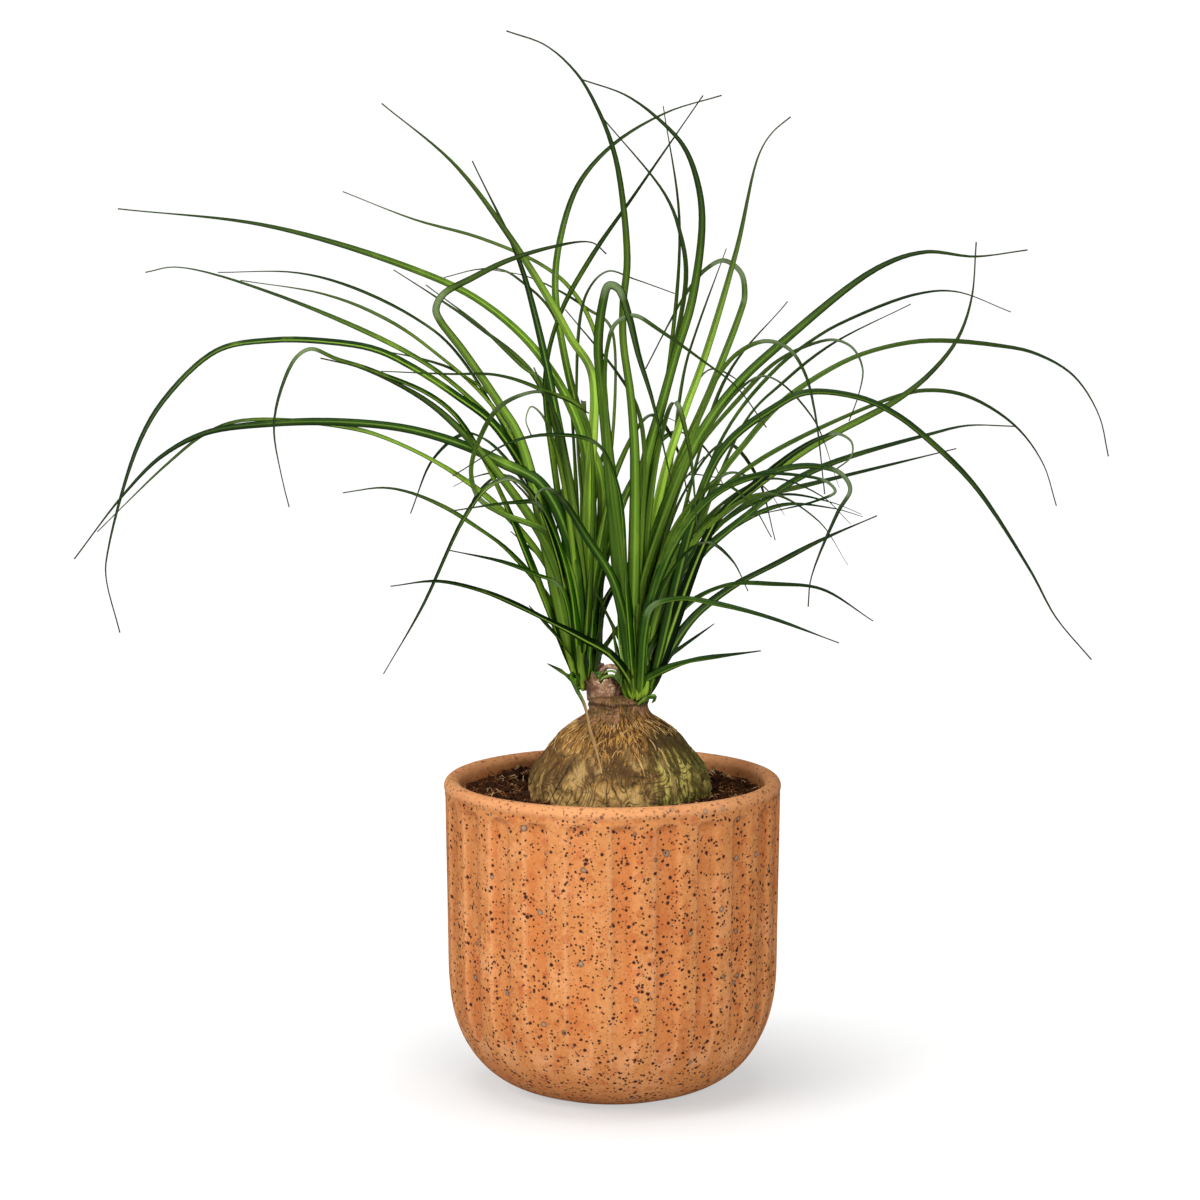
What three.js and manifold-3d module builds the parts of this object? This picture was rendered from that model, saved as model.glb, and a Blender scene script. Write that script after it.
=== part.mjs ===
// Potted ponytail palm: a fluted clay pot, its soil, the swollen woody base and two crowns of leaves.
// Millimetres, +Z up. The origin is the centre of the pot's foot, on the surface that it stands on.
// -Y is the front.
import * as THREE from 'three';
import { mergeVertices } from 'three/addons/utils/BufferGeometryUtils.js';
import Module from 'manifold-3d';

const wasm = await Module();
wasm.setup();

// Driving dimensions
const potRadius = 65;          // outside, at the rim
const potHeight = 122;
const footRadius = 30;         // flat foot
const footChamfer = 0.6;
const wallThickness = 6.2;
const wallTopRadius = 64.7;    // outside, just under the rounded lip
const wallLowRadius = 63.8;    // outside, where the lower corner starts
const cornerAcross = 43.3;     // reach of the lower corner, sideways and up
const cornerUp = 51.3;
const cornerPower = 2.38;      // superellipse exponent of that corner
const floorThickness = 8;
const fluteCount = 24;
const fluteDepth = 1.2;
const fluteTop = 116;          // where the flutes end under the rim band
const fluteArch = 5;           // height of their arched tops
const fluteFadeLow = 16;       // where they have run out, near the foot
const fluteFadeHigh = 46;
const fluteTurn = THREE.MathUtils.degToRad(3.5);
const soilLevel = 115.5;
const gap = 0.3;               // between neighbouring pieces
const finest = 0.03;           // smaller steps in a joined surface are smoothed away
const touching = 0.001;        // corners closer than this are drawn back from each other
const drawBack = 0.01;
const bulbX = 2.3;             // the caudex stands a little off the pot's axis
const stub = { x: -3, y: 2.6, radius: 6.6, low: 140, high: 160.5 };

// Each crown: where its sheath starts, the sheath's radius and how high it reaches.
const leftCrown = { x: -11, y: 5, z: 154.5, radius: 5.4, reach: 30 };
const rightCrown = { x: 9.6, y: -5.5, z: 150.5, radius: 7, reach: 34 };

// The two crowns keep to their own side of an upright plane, y = slope * (x - middle).
const planeSlope = 1.33;
const planeMiddle = -0.75;
const planeMargin = 3.4;

// The leaves' lines are given as they look from this point in front, drawn on the upright plane
// through the pot's axis. Depth then moves a point along its line of sight.
const eye = new THREE.Vector3(-4.8, -1473.1, 401.5);

const bladeWidth = 5;          // of an ordinary blade, at its widest
const bladeThickness = 0.7;
const bladeChannel = 0.2;      // keel depth as a share of the width
const ringSpacing = 45;        // a blade has a ring of corners each such length, or each such bend
const ringBend = 0.36;
const curveDots = 120;         // fine steps along a leaf's curve

const clay = { color: 0xd08a55, roughness: 0.85 };
const earth = { color: 0x3c2717, roughness: 1 };
const bark = { color: 0x8d6636, roughness: 0.9 };
const leafGreen = { color: 0x47651f, roughness: 0.5 };

// A geometry as a solid for joining and cutting.
function solid(geometry) {
  geometry.deleteAttribute('normal');
  geometry.deleteAttribute('uv');
  const merged = mergeVertices(geometry, 1e-4);
  return new wasm.Manifold(new wasm.Mesh({
    numProp: 3,
    vertProperties: new Float32Array(merged.attributes.position.array),
    triVerts: new Uint32Array(merged.index.array),
  }));
}

function geometryOf(body) {
  const { vertProperties, triVerts } = body.getMesh();
  const geometry = new THREE.BufferGeometry();
  geometry.setAttribute('position', new THREE.BufferAttribute(new Float32Array(vertProperties), 3));
  geometry.setIndex(new THREE.BufferAttribute(new Uint32Array(triVerts), 1));
  return geometry;
}

// Where a joined surface meets itself at a corner, each of the two corners is drawn back a little.
function drawnApart(geometry) {
  geometry.computeVertexNormals();
  const { position, normal } = geometry.attributes;
  const corners = Array.from({ length: position.count }, (_, i) => ({
    at: new THREE.Vector3().fromBufferAttribute(position, i),
    back: new THREE.Vector3().fromBufferAttribute(normal, i).multiplyScalar(-drawBack),
  }));
  const inOrder = [...corners].sort((a, b) => a.at.x - b.at.x);
  inOrder.forEach((corner, i) => {
    for (let j = i + 1; j < inOrder.length && inOrder[j].at.x - corner.at.x < touching; j += 1) {
      if (inOrder[j].at.distanceTo(corner.at) < touching) {
        corner.meets = true;
        inOrder[j].meets = true;
      }
    }
  });
  corners.forEach(({ at, back, meets }, i) => {
    if (meets) position.setXYZ(i, at.x + back.x, at.y + back.y, at.z + back.z);
  });
  return geometry;
}

function largestOf(bodies) {
  return bodies.reduce((best, next) => (next.volume() > best.volume() ? next : best));
}

// The largest connected body, without sealed cavities, loose scraps and sliver faces.
function wholeBody(body) {
  const plain = largestOf(body.decompose()).asOriginal().simplify(finest);
  return largestOf(plain.decompose());
}

// A solid of revolution about the upright line through (x, y). The profile is [radius, height] pairs.
function turned(profile, segments, x = 0, y = 0) {
  const points = profile.map(([r, z]) => new THREE.Vector2(r, z));
  const lathe = new THREE.LatheGeometry(points, segments);
  lathe.rotateX(Math.PI / 2);
  lathe.translate(x, y, 0);
  return lathe;
}

function mesh(name, geometry, { color, roughness }) {
  geometry.computeVertexNormals();
  const part = new THREE.Mesh(geometry, new THREE.MeshStandardMaterial({ color, roughness, metalness: 0 }));
  part.name = name;
  return part;
}

const smooth = (low, high, value) => THREE.MathUtils.smoothstep(value, low, high);

// Pot

// Outside profile from the foot up to where the lip starts.
function potOutside(cornerSteps) {
  const profile = [[0, 0], [footRadius, 0], [footRadius + footChamfer, footChamfer]];
  for (let i = 1; i <= cornerSteps; i += 1) {
    const t = (i / cornerSteps) * (Math.PI / 2);
    const r = wallLowRadius - cornerAcross * (1 - Math.sin(t) ** (2 / cornerPower));
    const z = cornerUp * (1 - Math.cos(t) ** (2 / cornerPower));
    if (r > footRadius + 2 * footChamfer && z > 2 * footChamfer) profile.push([r, z]);
  }
  return profile;
}

// The lip: a half round as wide as the wall.
function lip(steps) {
  const radius = wallThickness / 2;
  const points = [];
  for (let i = 0; i <= steps; i += 1) {
    const t = (i / steps) * Math.PI * 0.75;
    points.push([potRadius - radius * (1 - Math.cos(t)), potHeight - radius * (1 - Math.sin(t))]);
  }
  return points;
}

// Inside profile, drawn in by `inset`, up to the height `top`.
function potInside(top, inset) {
  const r = potRadius - wallThickness - inset;
  const low = floorThickness + inset;
  const corner = 36;
  const profile = [[0, low], [r - corner, low]];
  for (let i = 1; i <= 3; i += 1) {
    const t = (i / 3) * (Math.PI / 2);
    profile.push([r - corner * (1 - Math.sin(t)), low + corner * (1 - Math.cos(t))]);
  }
  profile.push([r, top]);
  return profile;
}

// How far a flute is cut into the wall at a place on it.
function fluteCut(angle, z) {
  const phase = ((angle - fluteTurn) * fluteCount) / (2 * Math.PI);
  const across = Math.abs(phase - Math.round(phase)) * 2;
  const groove = 1 - smooth(0.25, 0.85, across);
  const top = fluteTop - fluteArch * across ** 2;
  return fluteDepth * groove * (1 - smooth(top - 2.5, top, z)) * smooth(fluteFadeLow, fluteFadeHigh, z);
}

function makePot() {
  const profile = potOutside(7);
  for (const z of [80, 108, 112, fluteTop]) {
    profile.push([THREE.MathUtils.mapLinear(z, cornerUp, fluteTop, wallLowRadius, wallTopRadius), z]);
  }
  profile.push(...lip(3), [0, potHeight - wallThickness / 4]);
  const shell = turned(profile, fluteCount * 4);
  const place = shell.attributes.position;
  for (let i = 0; i < place.count; i += 1) {
    const [x, y, z] = [place.getX(i), place.getY(i), place.getZ(i)];
    const r = Math.hypot(x, y);
    if (r > footRadius + footChamfer && z < fluteTop + 1) {
      const scale = 1 - fluteCut(Math.atan2(x, -y), z) / r;
      place.setXY(i, x * scale, y * scale);
    }
  }
  const hollow = turned([...potInside(potHeight + 5, 0), [0, potHeight + 5]], fluteCount * 2);
  return mesh('pot', geometryOf(wholeBody(solid(shell).subtract(solid(hollow)))), clay);
}

// Caudex

// Radius of the bulb and neck against height.
const bulbShape = [
  [0, 84], [9, 85], [20, 90], [29, 98.5], [34, 108], [35.6, 116], [35.1, 120.5], [33.4, 125],
  [31, 128.6], [28.4, 132.2], [25.6, 136], [22.2, 140], [18, 143.2], [14, 145.8], [12, 147.8],
  [11.3, 150], [11.6, 152.4], [9.4, 153.6], [0, 154.2],
];

// Low lumps and folds of the bark, as a share of the radius.
function barkRelief(angle, z) {
  const shown = smooth(100, 118, z);
  const folds = 0.022 * Math.sin(3 * angle + 0.06 * z) + 0.014 * Math.sin(5 * angle - 0.11 * z + 1);
  return 1 + shown * (folds + 0.012 * Math.sin(9 * angle + 0.19 * z));
}

function bulbSolid(inset, segments) {
  const profile = bulbShape.map(([r, z]) => [r > 0 ? r - inset : 0, z < 90 ? z + inset : z]);
  const bulb = turned(profile, segments, bulbX);
  const place = bulb.attributes.position;
  for (let i = 0; i < place.count; i += 1) {
    const [x, y] = [place.getX(i) - bulbX, place.getY(i)];
    const scale = barkRelief(Math.atan2(y, x), place.getZ(i));
    place.setXY(i, bulbX + x * scale, y * scale);
  }
  return solid(bulb);
}

// The old stem stub beside the neck, a little wider at its top.
function stubSolid() {
  const { x, y, radius, low, high } = stub;
  const profile = [[0, low], [radius - 1.2, low], [radius - 0.6, low + 12], [radius + 0.4, high - 4]];
  profile.push([radius - 0.6, high - 1.2], [radius - 3, high], [0, high + 0.6]);
  return solid(turned(profile, 14, x, y));
}

// Dry papery scales that stand round the top of the stub: turn, height, length and lean outwards.
const scales = [
  { turn: -100, rise: 150.5, length: 12, lean: 14, width: 7 },
  { turn: -55, rise: 152, length: 13.5, lean: 2, width: 6.5 },
  { turn: -150, rise: 149, length: 10, lean: 24, width: 6 },
  { turn: -20, rise: 150, length: 9, lean: 26, width: 6 },
  { turn: 50, rise: 152, length: 11, lean: 12, width: 6.5 },
  { turn: 100, rise: 151, length: 12, lean: 8, width: 7 },
];
const scaleThickness = 0.8;

function scaleSolid({ turn, rise, length, lean, width }) {
  const outline = new THREE.Shape();
  outline.moveTo(-width / 2, 0);
  outline.lineTo(width / 2, 0);
  outline.quadraticCurveTo(width / 2, length * 0.7, 0.4, length);
  outline.lineTo(-0.4, length);
  outline.quadraticCurveTo(-width / 2, length * 0.7, -width / 2, 0);
  const sheet = { depth: scaleThickness, bevelEnabled: false, curveSegments: 3 };
  const scale = new THREE.ExtrudeGeometry(outline, sheet);
  scale.rotateX(Math.PI / 2);
  scale.translate(0, scaleThickness, 0);
  scale.rotateX(-THREE.MathUtils.degToRad(lean));
  scale.translate(0, stub.radius - 1, 0);
  scale.rotateZ(THREE.MathUtils.degToRad(turn - 90));
  scale.translate(stub.x, stub.y, rise);
  return solid(scale);
}

// Crown sheaths: the leaf bases that clasp each other. `grow` widens one, for its seat in the caudex.
function sheathSolid({ x, y, z, radius, reach }, grow = 0) {
  const base = z - grow;
  const profile = [[0, base], [radius * 0.56 + grow, base], [radius * 0.82 + grow, z + 3]];
  profile.push([radius * 1.04 + grow, z + 7.5], [radius * 1.12 + grow, z + 14]);
  profile.push([radius * 0.8 + grow, z + 0.6 * reach], [0, z + reach]);
  return solid(turned(profile, 12, x, y));
}

function makeCaudex() {
  const pieces = [bulbSolid(0, 32), stubSolid(), ...scales.map(scaleSolid)];
  const joined = wasm.Manifold.union(pieces);
  const seated = joined.subtract(sheathSolid(leftCrown, gap)).subtract(sheathSolid(rightCrown, gap));
  return mesh('caudex', geometryOf(wholeBody(seated)), bark);
}

// Soil

// Uneven surface of the soil above or below its level.
function soilRelief(x, y) {
  const waves = Math.sin(0.21 * x + 1.3) * Math.cos(0.19 * y) + 0.7 * Math.sin(0.37 * y - 0.29 * x);
  return 0.9 * waves + 0.5 * Math.sin(0.83 * x) * Math.sin(0.71 * y + 2);
}

function makeSoil() {
  const profile = potInside(soilLevel - 0.8, gap);
  const edge = profile.at(-1)[0];
  for (const r of [55, 51, 46.5, 42, 37, 20]) profile.push([r, soilLevel]);
  profile.push([0, soilLevel]);
  const bed = turned(profile, fluteCount * 2);
  const place = bed.attributes.position;
  for (let i = 0; i < place.count; i += 1) {
    const [x, y, z] = [place.getX(i), place.getY(i), place.getZ(i)];
    if (z > soilLevel - 0.1 && Math.hypot(x, y) < edge - 0.5) place.setZ(i, z + soilRelief(x, y));
  }
  const hole = bulbSolid(-gap, 32);
  return mesh('soil', geometryOf(wholeBody(solid(bed).subtract(hole))), earth);
}

// Leaves

// Where a point that looks to be at (across, up) from the front lies at a given depth.
function seen(across, up, depth) {
  const onPlane = new THREE.Vector3(across, 0, up);
  return onPlane.sub(eye).multiplyScalar((depth - eye.y) / -eye.y).add(eye);
}

// Moves a point back or forward along its line of sight until it is on its own crown's side.
function keepToSide(across, up, depth, side, room) {
  const clear = room * Math.hypot(1, planeSlope);
  const limit = planeSlope * (seen(across, up, depth).x - planeMiddle) + side * clear;
  return seen(across, up, side > 0 ? Math.max(depth, limit) : Math.min(depth, limit));
}

// A leaf of the hand-laid list: [width, depth at the tip, [across, up], ...] from the crown outwards.
// A point may give its own depth as a third number, and then stays there.
function laidLeaf([width, tipDepth, ...points], crown, side) {
  const lengths = [0];
  for (let i = 1; i < points.length; i += 1) {
    const [before, point] = [points[i - 1], points[i]];
    lengths.push(lengths[i - 1] + Math.hypot(point[0] - before[0], point[1] - before[1]));
  }
  const start = Math.hypot(points[0][0] - crown.x, points[0][1] - crown.z);
  const total = start + lengths.at(-1);
  const line = points.map(([across, up, ownDepth], i) => {
    if (ownDepth !== undefined) return seen(across, up, ownDepth);
    const depth = THREE.MathUtils.lerp(crown.y, tipDepth, (start + lengths[i]) / total);
    return keepToSide(across, up, depth, side, width / 2 + planeMargin);
  });
  const out = line[0].clone().sub(new THREE.Vector3(crown.x, crown.y, line[0].z));
  out.setLength(crown.radius * 0.4);
  const rootHeight = Math.min(crown.z + 7, line[0].z - 3);
  line.unshift(new THREE.Vector3(crown.x + out.x, crown.y + out.y, rootHeight));
  return { line, width: Math.max(width, bladeWidth), turn: Math.acos(Math.min(1, width / bladeWidth)) };
}

// A leaf of the rule: it rises from the crown towards an azimuth and arches over.
function arch(crown, azimuth, reach, rise, droop, turn) {
  const along = (share, height) => new THREE.Vector3(
    crown.x + Math.cos(azimuth) * reach * share,
    crown.y + Math.sin(azimuth) * reach * share,
    crown.z + 7 + rise * height,
  );
  const line = [along(0.015, 0), along(0.1, 0.4), along(0.32, 0.8), along(0.62, 1)];
  line.push(along(0.86, 1 - droop * 0.35), along(1, 1 - droop));
  return { line, width: bladeWidth, turn, level: true };
}

// Repeatable numbers from 0 to 1.
function seededDraw(seed) {
  let state = seed;
  return () => {
    state = (state * 16807) % 2147483647;
    return state / 2147483647;
  };
}

// Blade width along a leaf, as a share of its widest.
function widthAt(share) {
  const base = THREE.MathUtils.lerp(0.85, 1, smooth(0, 0.2, share));
  return base * (1 - 0.45 * smooth(0.12, 0.55, share)) * (1 - smooth(0.55, 1.06, share)) ** 0.8;
}

// Places along a leaf's curve where its rings of corners go: closer together where it bends.
function ringPlaces(line) {
  const curve = new THREE.CatmullRomCurve3(line, false, 'centripetal');
  const dots = Array.from({ length: curveDots + 1 }, (_, i) => curve.getPoint(i / curveDots));
  const measure = [0];
  const lengths = [0];
  for (let i = 1; i <= curveDots; i += 1) {
    const step = dots[i].clone().sub(dots[i - 1]);
    const stepBefore = dots[i - 1].clone().sub(dots[Math.max(i - 2, 0)]);
    const bend = i > 1 ? step.angleTo(stepBefore) : 0;
    measure.push(measure[i - 1] + step.length() / ringSpacing + bend / ringBend);
    lengths.push(lengths[i - 1] + step.length());
  }
  const rings = Math.max(5, Math.ceil(measure.at(-1)));
  return Array.from({ length: rings + 1 }, (_, k) => {
    const want = (measure.at(-1) * k) / rings;
    const at = k === rings ? curveDots : measure.findIndex((m) => m >= want);
    const along = dots[Math.min(at + 1, curveDots)].clone().sub(dots[Math.max(at - 1, 0)]).normalize();
    return { dot: dots[at], along, share: lengths[at] / lengths.at(-1) };
  });
}

// One blade: three-sided, flat on its upper face, with its keel below.
function bladeSolid({ line, width, turn, level }) {
  const rings = ringPlaces(line);
  rings.forEach((ring) => {
    const { dot, along, share } = ring;
    const sight = level ? new THREE.Vector3(0, 0, 1) : dot.clone().sub(eye).normalize();
    ring.across = along.clone().cross(sight).normalize();
    ring.across.applyAxisAngle(along, turn * (1 + 0.3 * Math.sin(4 * share)));
    ring.keel = along.clone().cross(ring.across);
  });
  const down = rings.reduce((sum, { keel }) => sum + keel.z, 0) < 0 ? 1 : -1;
  const positions = rings.flatMap(({ dot, across, keel, share }) => {
    const half = Math.max(0.45, (width / 2) * widthAt(share));
    const depth = Math.max(bladeThickness, bladeChannel * width * widthAt(share));
    const corners = [
      dot.clone().addScaledVector(across, half),
      dot.clone().addScaledVector(keel, down * depth),
      dot.clone().addScaledVector(across, -half),
    ];
    return corners.flatMap((corner) => corner.toArray());
  });
  const faces = [0, 2, 1];
  for (let k = 0; k < rings.length - 1; k += 1) {
    for (let j = 0; j < 3; j += 1) {
      const [a, b] = [k * 3 + j, k * 3 + ((j + 1) % 3)];
      faces.push(a, b, a + 3, b, b + 3, a + 3);
    }
  }
  const end = (rings.length - 1) * 3;
  faces.push(end, end + 1, end + 2);
  if (down < 0) faces.reverse();
  const blade = new THREE.BufferGeometry();
  blade.setAttribute('position', new THREE.Float32BufferAttribute(positions, 3));
  blade.setIndex(faces);
  return solid(blade);
}

const leftLeaves = [
  [5, 60, [-8, 210], [-12, 255], [-28, 285], [-50, 305], [-75, 317], [-130, 333.5], [-187, 340]],
  [4, 20, [-12, 165], [-17, 195], [-25, 225], [-38, 250], [-54, 268], [-75, 284], [-130, 308.5],
    [-165, 318], [-177, 316]],
  [2.5, 70, [-25, 220], [-40, 255], [-61, 288], [-75, 299], [-100, 311], [-120, 316], [-149.5, 316]],
  [3, 50, [-40, 257], [-71, 288.6], [-90, 300.5], [-110, 308], [-141, 313]],
  [4.5, -20, [-25, 222], [-44, 257], [-59, 269], [-75, 279.5], [-90, 286.8], [-110, 290], [-130, 290.3],
    [-150, 286.5], [-170, 268.5], [-181, 250], [-193, 210], [-194, 200], [-189, 178]],
  [5.5, -30, [-35, 252], [-43, 266], [-57, 286.6], [-65.6, 298], [-67, 302], [-64.4, 307.5], [-53, 314],
    [-40, 320.4], [-23, 325.6], [-7.6, 327.2], [-2.4, 323]],
  [4, 80, [-25, 272], [-35, 281], [-51, 296.3], [-70.8, 311.3]],
  [4, 90, [-27, 272], [-53, 297], [-67, 306.7], [-83, 317]],
  [5.5, -30, [-14, 165], [-18, 193], [-24, 210], [-34, 226.5], [-56, 254], [-72, 268], [-95, 279.5],
    [-111, 283.5]],
  [3.5, -45, [-60, 262], [-90, 278.5], [-105, 283.3], [-114.5, 287], [-120, 284], [-126, 272],
    [-129, 257], [-126, 237], [-123.5, 226.5]],
  [5.5, -40, [-12, 175], [-17, 215], [-28, 236], [-42, 243.5], [-56, 250], [-78, 256.5], [-105, 259.2],
    [-130, 258.6], [-155, 255], [-172, 246], [-187, 231], [-206, 206.5]],
  [3.5, -10, [-22, 198], [-41, 224], [-60, 239.5], [-83, 251.7], [-100, 257], [-141, 259.8],
    [-155, 254.8], [-170, 243], [-197, 217]],
  [3.5, 20, [-14, 165], [-22, 187.6], [-40, 210], [-52, 219], [-64, 226.5], [-78, 232.4], [-88, 234],
    [-103, 232]],
  [3.5, -40, [-14, 170], [-20, 196], [-30, 201], [-42, 205.5], [-63, 210]],
  [3.5, -70, [-20, 205], [-30, 231], [-36, 236.5], [-40.5, 237.4], [-48, 234], [-57, 222], [-73, 188],
    [-88, 162]],
  [4, -50, [-13, 170], [-15.5, 194], [-21, 214], [-28, 227.5], [-38, 228.3], [-62, 225]],
  [4, -40, [-16, 200], [-25, 216.5], [-42, 224], [-51, 230], [-54, 240], [-51, 252], [-43, 265],
    [-31, 270.5], [-19, 268], [-9, 262.5]],
  [3, -70, [-10, 261], [-27, 271.5], [-45, 277.3], [-62, 277.5], [-88, 278.5]],
  [2.5, 40, [-40, 262], [-58, 277.8], [-70, 282.6], [-95.6, 287.8]],
  [3.5, 90, [-2, 260], [-7, 294], [-16, 310], [-27, 319], [-50, 329], [-75, 336], [-102, 346.5]],
  [5.5, 40, [-12, 170], [-16, 228], [-20, 255], [-29, 298], [-36, 322], [-53, 358]],
  [5, 75, [-4, 235], [-11, 256], [-18, 283], [-21.8, 310], [-20, 328], [-13, 349], [0, 364], [20, 376],
    [41, 382.5]],
  [4, 60, [-13, 180], [-22, 240], [-25.5, 277], [-20, 300], [-8, 322], [8, 345], [34, 382.5]],
  [5.5, 30, [-9, 230], [-8, 278], [-15.6, 290.6], [-23, 304], [-40, 331], [-60, 357], [-87, 379.5]],
  [2.5, 70, [-0.4, 294.7], [-9, 302], [-20, 309], [-33, 314.7], [-46, 317]],
  [3, 60, [-21, 297], [-35, 313], [-42, 317], [-51, 317.2], [-64, 314]],
  [3, 30, [-14, 185], [-22.8, 202.4], [-39, 217.2]],
  [3, 0, [-13, 158], [-19.4, 163], [-25, 166]],
  [3, -6, [-13, 165], [-18, 173], [-32, 188.5]],
  [6.5, -5, [-11, 165], [-12, 195], [-13.5, 215], [-18, 245], [-22, 262], [-30, 280]],
  [4, 70, [-6, 168], [-4.5, 185], [0, 195], [8, 207], [20, 228], [35, 246]],
  [4, 20, [-6, 168], [-2, 174], [6, 186]],
  [2.5, 45, [-10, 200], [-14, 270], [-10, 308], [-2, 316.5], [8, 313.6], [23.5, 308]],
  [4, -20, [-12, 175], [-17, 225], [-22, 250], [-27, 262], [-31, 265], [-33, 260], [-31, 254]],
  [2.6, 0, [-14.5, 161, 0], [-14, 156, -8], [-11, 150, -16], [-9, 141, -21], [-6.3, 132, -28],
    [-4, 123, -33.5]],
];

const rightLeaves = [
  [4, -112, [8, 157], [0, 169], [-11.5, 176], [-27, 184], [-37, 189], [-50, 194.3], [-67, 198],
    [-85, 196]],
  [6, -42, [7, 170], [0.4, 198], [-10, 215], [-19.4, 229.7], [-25, 233.7], [-29.2, 231], [-28, 224]],
  [3, -88, [6, 190], [2, 235], [-6, 251], [-22, 254.4], [-38, 251.8], [-61, 238.5]],
  [5, -75, [7.8, 175], [8.5, 245], [7, 268], [4, 290], [4, 305], [5.5, 320], [3, 349], [0, 363],
    [-5, 376], [-13, 390], [-25, 401], [-40, 406.5]],
  [6.5, -72, [7, 160], [5, 185], [3, 200], [-1, 240], [-4, 270], [-5.5, 288], [-4, 303], [-1.5, 311],
    [2, 310], [6, 300], [10, 284], [15, 268], [22.5, 236]],
  [3.5, -75, [6, 185], [-1, 240], [-3, 275], [-2, 288], [1, 296.5], [8, 299.7], [18, 294], [35, 282],
    [47, 272.7], [58.6, 257]],
  [6, -50, [8, 175], [12, 240], [18, 263], [24, 285], [30, 305], [33.8, 335], [32, 350], [27, 363],
    [18, 373], [5, 382.5], [-12, 388.5]],
  [4, -30, [8, 175], [15, 245], [22, 280], [27.8, 315], [25.5, 331], [20, 345], [-5, 375.5]],
  [3, 15, [8, 180], [16, 250], [22, 285], [25.3, 335], [19, 378.5]],
  [5, 0, [9, 180], [20, 240], [27, 262], [35, 284], [47, 325], [55, 360], [60, 368.5], [67, 374.5]],
  [5, 10, [10, 185], [22, 235], [38, 273.5], [48.3, 300.5], [50, 307], [48.5, 316], [42, 320.5],
    [35, 317], [27.6, 307.7], [21, 296], [12.5, 279.4]],
  [2.5, 40, [27, 278], [31, 292], [43, 325]],
  [6, -20, [10, 185], [20, 225], [32, 252], [46, 272], [65, 290], [100, 317.5], [118, 323.7], [137, 322],
    [157, 324.5]],
  [3, 60, [40, 250], [61, 278.5], [78, 292], [89, 298], [115, 307.8], [130, 308.8], [151, 301]],
  [2.5, 90, [50, 259], [65, 274.6], [83, 288.8], [113, 304]],
  [4, 30, [39, 235], [50, 250.4], [63, 265.5], [77, 276], [93.5, 284.6], [112, 289.4], [125, 290.2],
    [145, 288.5], [160, 285.5], [175, 277], [185, 262], [189, 246]],
  [3.5, -50, [10, 190], [28, 245], [38, 273], [47, 285], [58, 290], [67, 287], [73, 278], [77, 263],
    [81, 231.5]],
  [3.5, -10, [10, 190], [30, 245], [48, 268], [62, 282], [74, 288.3], [84, 290.5], [91, 287.5],
    [95, 279.5], [93.7, 270], [90, 259.5]],
  [3, 60, [42, 274], [66.3, 305]],
  [4.5, -60, [40, 246], [62, 265], [73.7, 270.5], [94, 268.5], [108, 262], [122, 251], [138, 235],
    [160, 202], [170, 184], [184, 167.5]],
  [5, -30, [12, 180], [28, 212], [45, 227], [76, 250], [108, 267.5], [121, 278], [131, 291], [136, 306],
    [137.5, 327.5]],
  [3.5, 40, [12, 185], [30, 222], [48, 239], [68, 251.5], [108, 269], [120, 271.3], [135, 269],
    [153, 258], [164, 243.5], [169.5, 227]],
  [4.5, 0, [12, 180], [30, 205], [50, 222.5], [68, 236], [85, 244], [120, 254.3], [135, 257.8],
    [153, 257.5]],
  [4, 30, [12, 175], [30, 207], [44, 222.5], [56, 230.5], [72, 234.5], [131, 249]],
  [5.5, -40, [40, 222], [55, 236], [70, 248], [79, 253], [86, 254.6], [91, 251.5], [91, 246],
    [84.5, 240.5]],
  [4.5, -60, [12, 180], [25, 215], [40, 232], [58, 239.5], [76, 242.4], [87, 239.5], [90.7, 233.5],
    [86, 224.5], [76, 199], [75, 188]],
  [3, -80, [12, 180], [24, 215], [38, 232], [54, 239], [70, 239], [82, 236.2], [85, 232.5], [78, 229],
    [54, 223.3]],
  [4.5, 20, [20, 168], [31, 184], [46, 196], [62, 204.5], [80, 214], [101, 223.2]],
  [4, -60, [12, 178], [15, 188], [25, 191.3], [40, 189.3], [60, 184], [87, 174]],
  [3.5, -20, [14, 170], [22, 182], [32, 191.5], [45, 196.9], [62, 196.9], [80, 195], [100, 182.5]],
  [4, -30, [11, 158], [17, 162.3], [28, 166.7], [57, 171]],
  [3, 10, [15, 160], [21, 168], [39, 181.5]],
  [3, -10, [4, 172], [0, 181], [-6, 193]],
  [2.5, 40, [12, 190], [20, 225], [28, 238.5], [39.5, 238]],
  [3.5, -35, [10, 200], [12, 250], [9, 265.5], [2, 277.5], [-18, 302]],
];

// More leaves fill each crown on the sides that the list leaves open, by the golden angle.
const goldenAngle = Math.PI * (3 - Math.sqrt(5));
const fill = {
  left: { count: 10, middle: 105, spread: 62, seed: 12 },
  right: { count: 11, middle: -5, spread: 62, seed: 29 },
};

function fillLeaves(crown, { count, middle, spread, seed }) {
  const draw = seededDraw(seed);
  return Array.from({ length: count }, (_, i) => {
    const place = ((i * goldenAngle) % (2 * Math.PI)) / Math.PI - 1;
    const azimuth = THREE.MathUtils.degToRad(middle + spread * place);
    const reach = 55 + 65 * draw();
    const rise = 60 + 65 * draw();
    return arch(crown, azimuth, reach, rise, 0.05 + 0.4 * draw(), 0.5 - draw());
  });
}

function makeLeaves(name, crown, list, side, filling) {
  const leaves = [...list.map((row) => laidLeaf(row, crown, side)), ...fillLeaves(crown, filling)];
  const joined = wasm.Manifold.union([sheathSolid(crown), ...leaves.map(bladeSolid)]);
  return mesh(name, drawnApart(geometryOf(wholeBody(joined))), leafGreen);
}

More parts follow.
